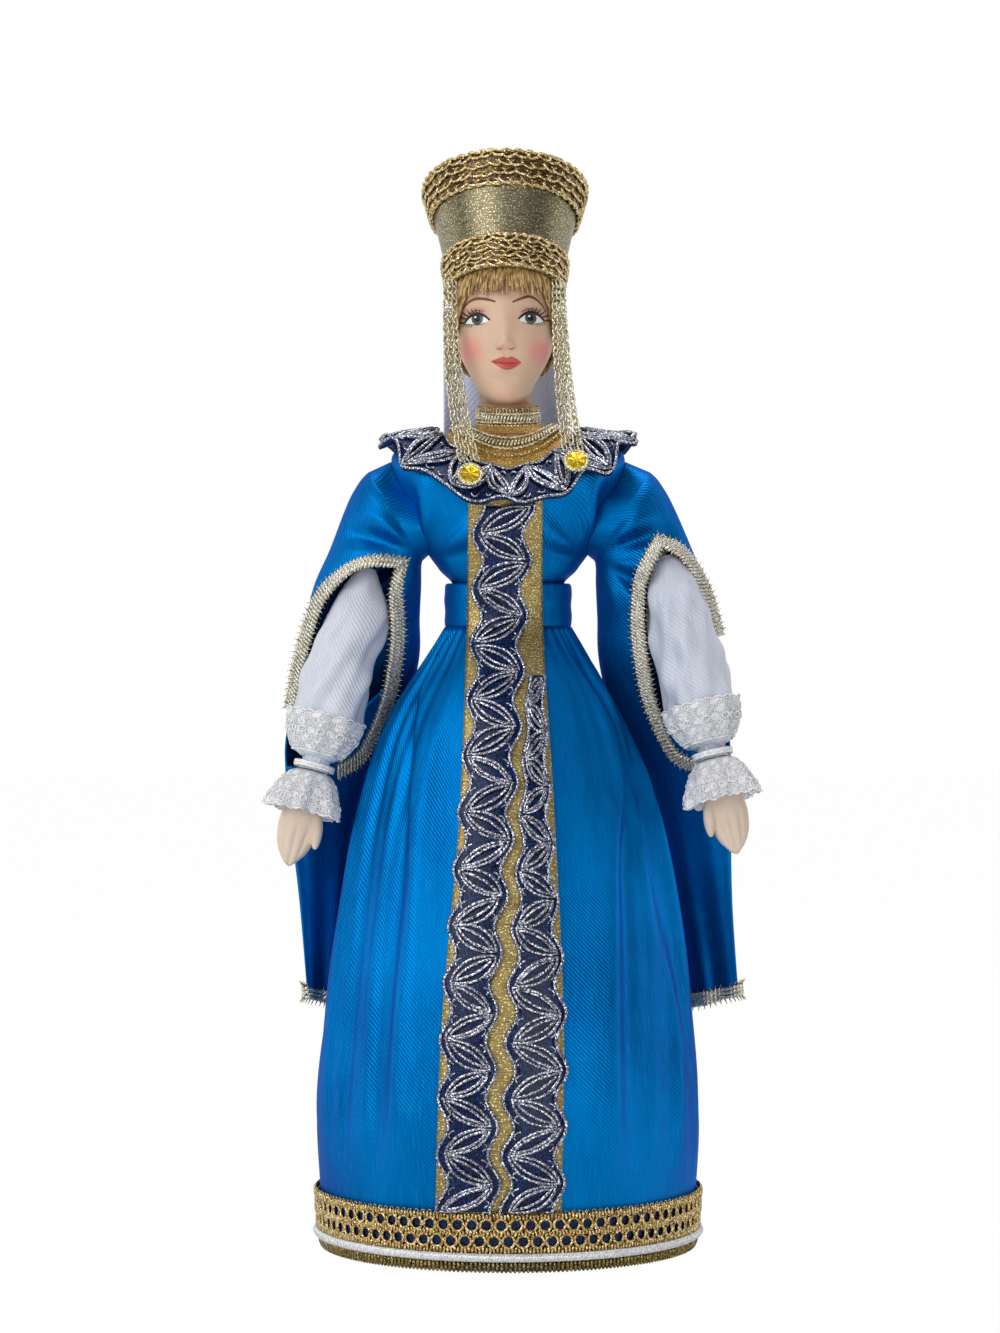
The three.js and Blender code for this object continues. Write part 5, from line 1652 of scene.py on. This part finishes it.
    # Hand: a slim mitten with finger grooves and a thumb, grown together
    handTop = -long - 0.4
    drop = np.concatenate([np.linspace(0, 20, 50), np.linspace(20.2, 23.2, 22)])[::-1, None]
    a = fullTurn(72)[None, :]
    wide, deep = handAt(drop)
    share = np.sin(a)
    groove = sum(np.exp(-(((share - place) / 0.1) ** 2)) for place in handShape["grooves"])
    groove = groove * handShape["groove"] * ease(drop, 12, 16) * (deep / 2.6)
    uneven = 0.5 * np.cos(share * 6 + 0.4) * ease(drop, 17, 22)
    rings = roundPoint(wide, deep - groove, a, handTop - drop + uneven)
    palm = skin("palm", onArm(rings), handPorcelain)
    t = np.linspace(0, 1, 16)[:, None]
    fat = handShape["thumb"] * np.sqrt(np.clip(np.sin(np.pi * (0.12 + 0.86 * t)), 0.01, 1))
    b = evenTurn(20)[None, :]
    x = -sign * (3.4 + 2.9 * t - 1.0 * t * t) + fat * np.cos(b)
    y = -1.1 - 0.8 * t + fat * np.sin(b)
    rings = np.stack([x, y, handTop - 8.6 - 9.6 * t + 0 * b], axis=-1)
    thumb = skin("thumb", onArm(rings[::-1]), handPorcelain)
    hand = joined("hand_skin_" + side, [palm, thumb])
    grown = hand.modifiers.new("grown", "REMESH")
    grown.mode = "VOXEL"
    grown.voxel_size = handShape["voxel"] * mm
    soft = hand.modifiers.new("soft", "SMOOTH")
    soft.factor = 0.5
    soft.iterations = 4
    settle(hand)
    hand.data.shade_smooth()
    wear(hand, "hand_" + side, "porcelain", "hand_" + side)
print("arms made")

# Veil: a white panel from the hat's back edge, rippled towards its foot
veilShape = {
    "low": 172, "high": 227.3, "x": -0.75, "half": 15.4, "bow": 0.014, "ripple": 1.5,
    "line": [
        [168, 26.6], [172, 26.4], [180, 25.6], [187, 23.6], [196, 20.2], [206, 17.8], [217, 15.9],
        [228.1, 14.2], [231, 13.6],
    ],
}
along = np.linspace(0, 1, 70)[:, None]
across = np.linspace(-1, 1, 80)[None, :]
x = veilShape["x"] + veilShape["half"] * across
bow = veilShape["bow"] * x * x * along
z = veilShape["low"] + (veilShape["high"] + bow - veilShape["low"]) * along
ripple = veilShape["ripple"] * (1 - 0.75 * along) * np.cos(across * 10 + 1.5 * along)
ripple = ripple + 0.6 * (1 - along) * np.cos(across * 17 + 1)
y = between(veilShape["line"])(z)[0] - bow + 0.4 + ripple
grid = np.stack([x + 0 * z, y, z], axis=-1)[:, ::-1]
veil = cloth("veilCloth", grid, veilCloth, 0.3)
wear(veil, "veil", "white_satin", "veil")
print("veil made")


# The inside keeps its solids, finished as wood or as card
def woodPaint(place, flat):
    grain = place.stretched(1.0, 1.0, 0.12).noise(420, 3.0)
    tone = mixed(grain, colour(168, 130, 86), colour(206, 172, 124))
    return {"Base Color": tone, "Roughness": grain * 0.2 + 0.5, "Normal": grain.bump(0.2, 0.0001)}


def cardPaint(place, flat):
    grain = place.noise(900, 3.0)
    tone = mixed(grain, colour(190, 178, 158), colour(214, 204, 186))
    return {"Base Color": tone, "Roughness": grain * 0.1 + 0.75, "Normal": grain.bump(0.15, 0.0001)}


wood = finish("wood", woodPaint)
card = finish("card", cardPaint)
inside = (
    (wood, ("base_disc", "body_post")),
    (card, ("skirt_cone", "torso", "arm_wire_left", "arm_wire_right")),
)
for look, names in inside:
    for name in names:
        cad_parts[name].data.materials[0] = look
print("inside finished")

for shape in shapes.values():
    bpy.data.objects.remove(shape)
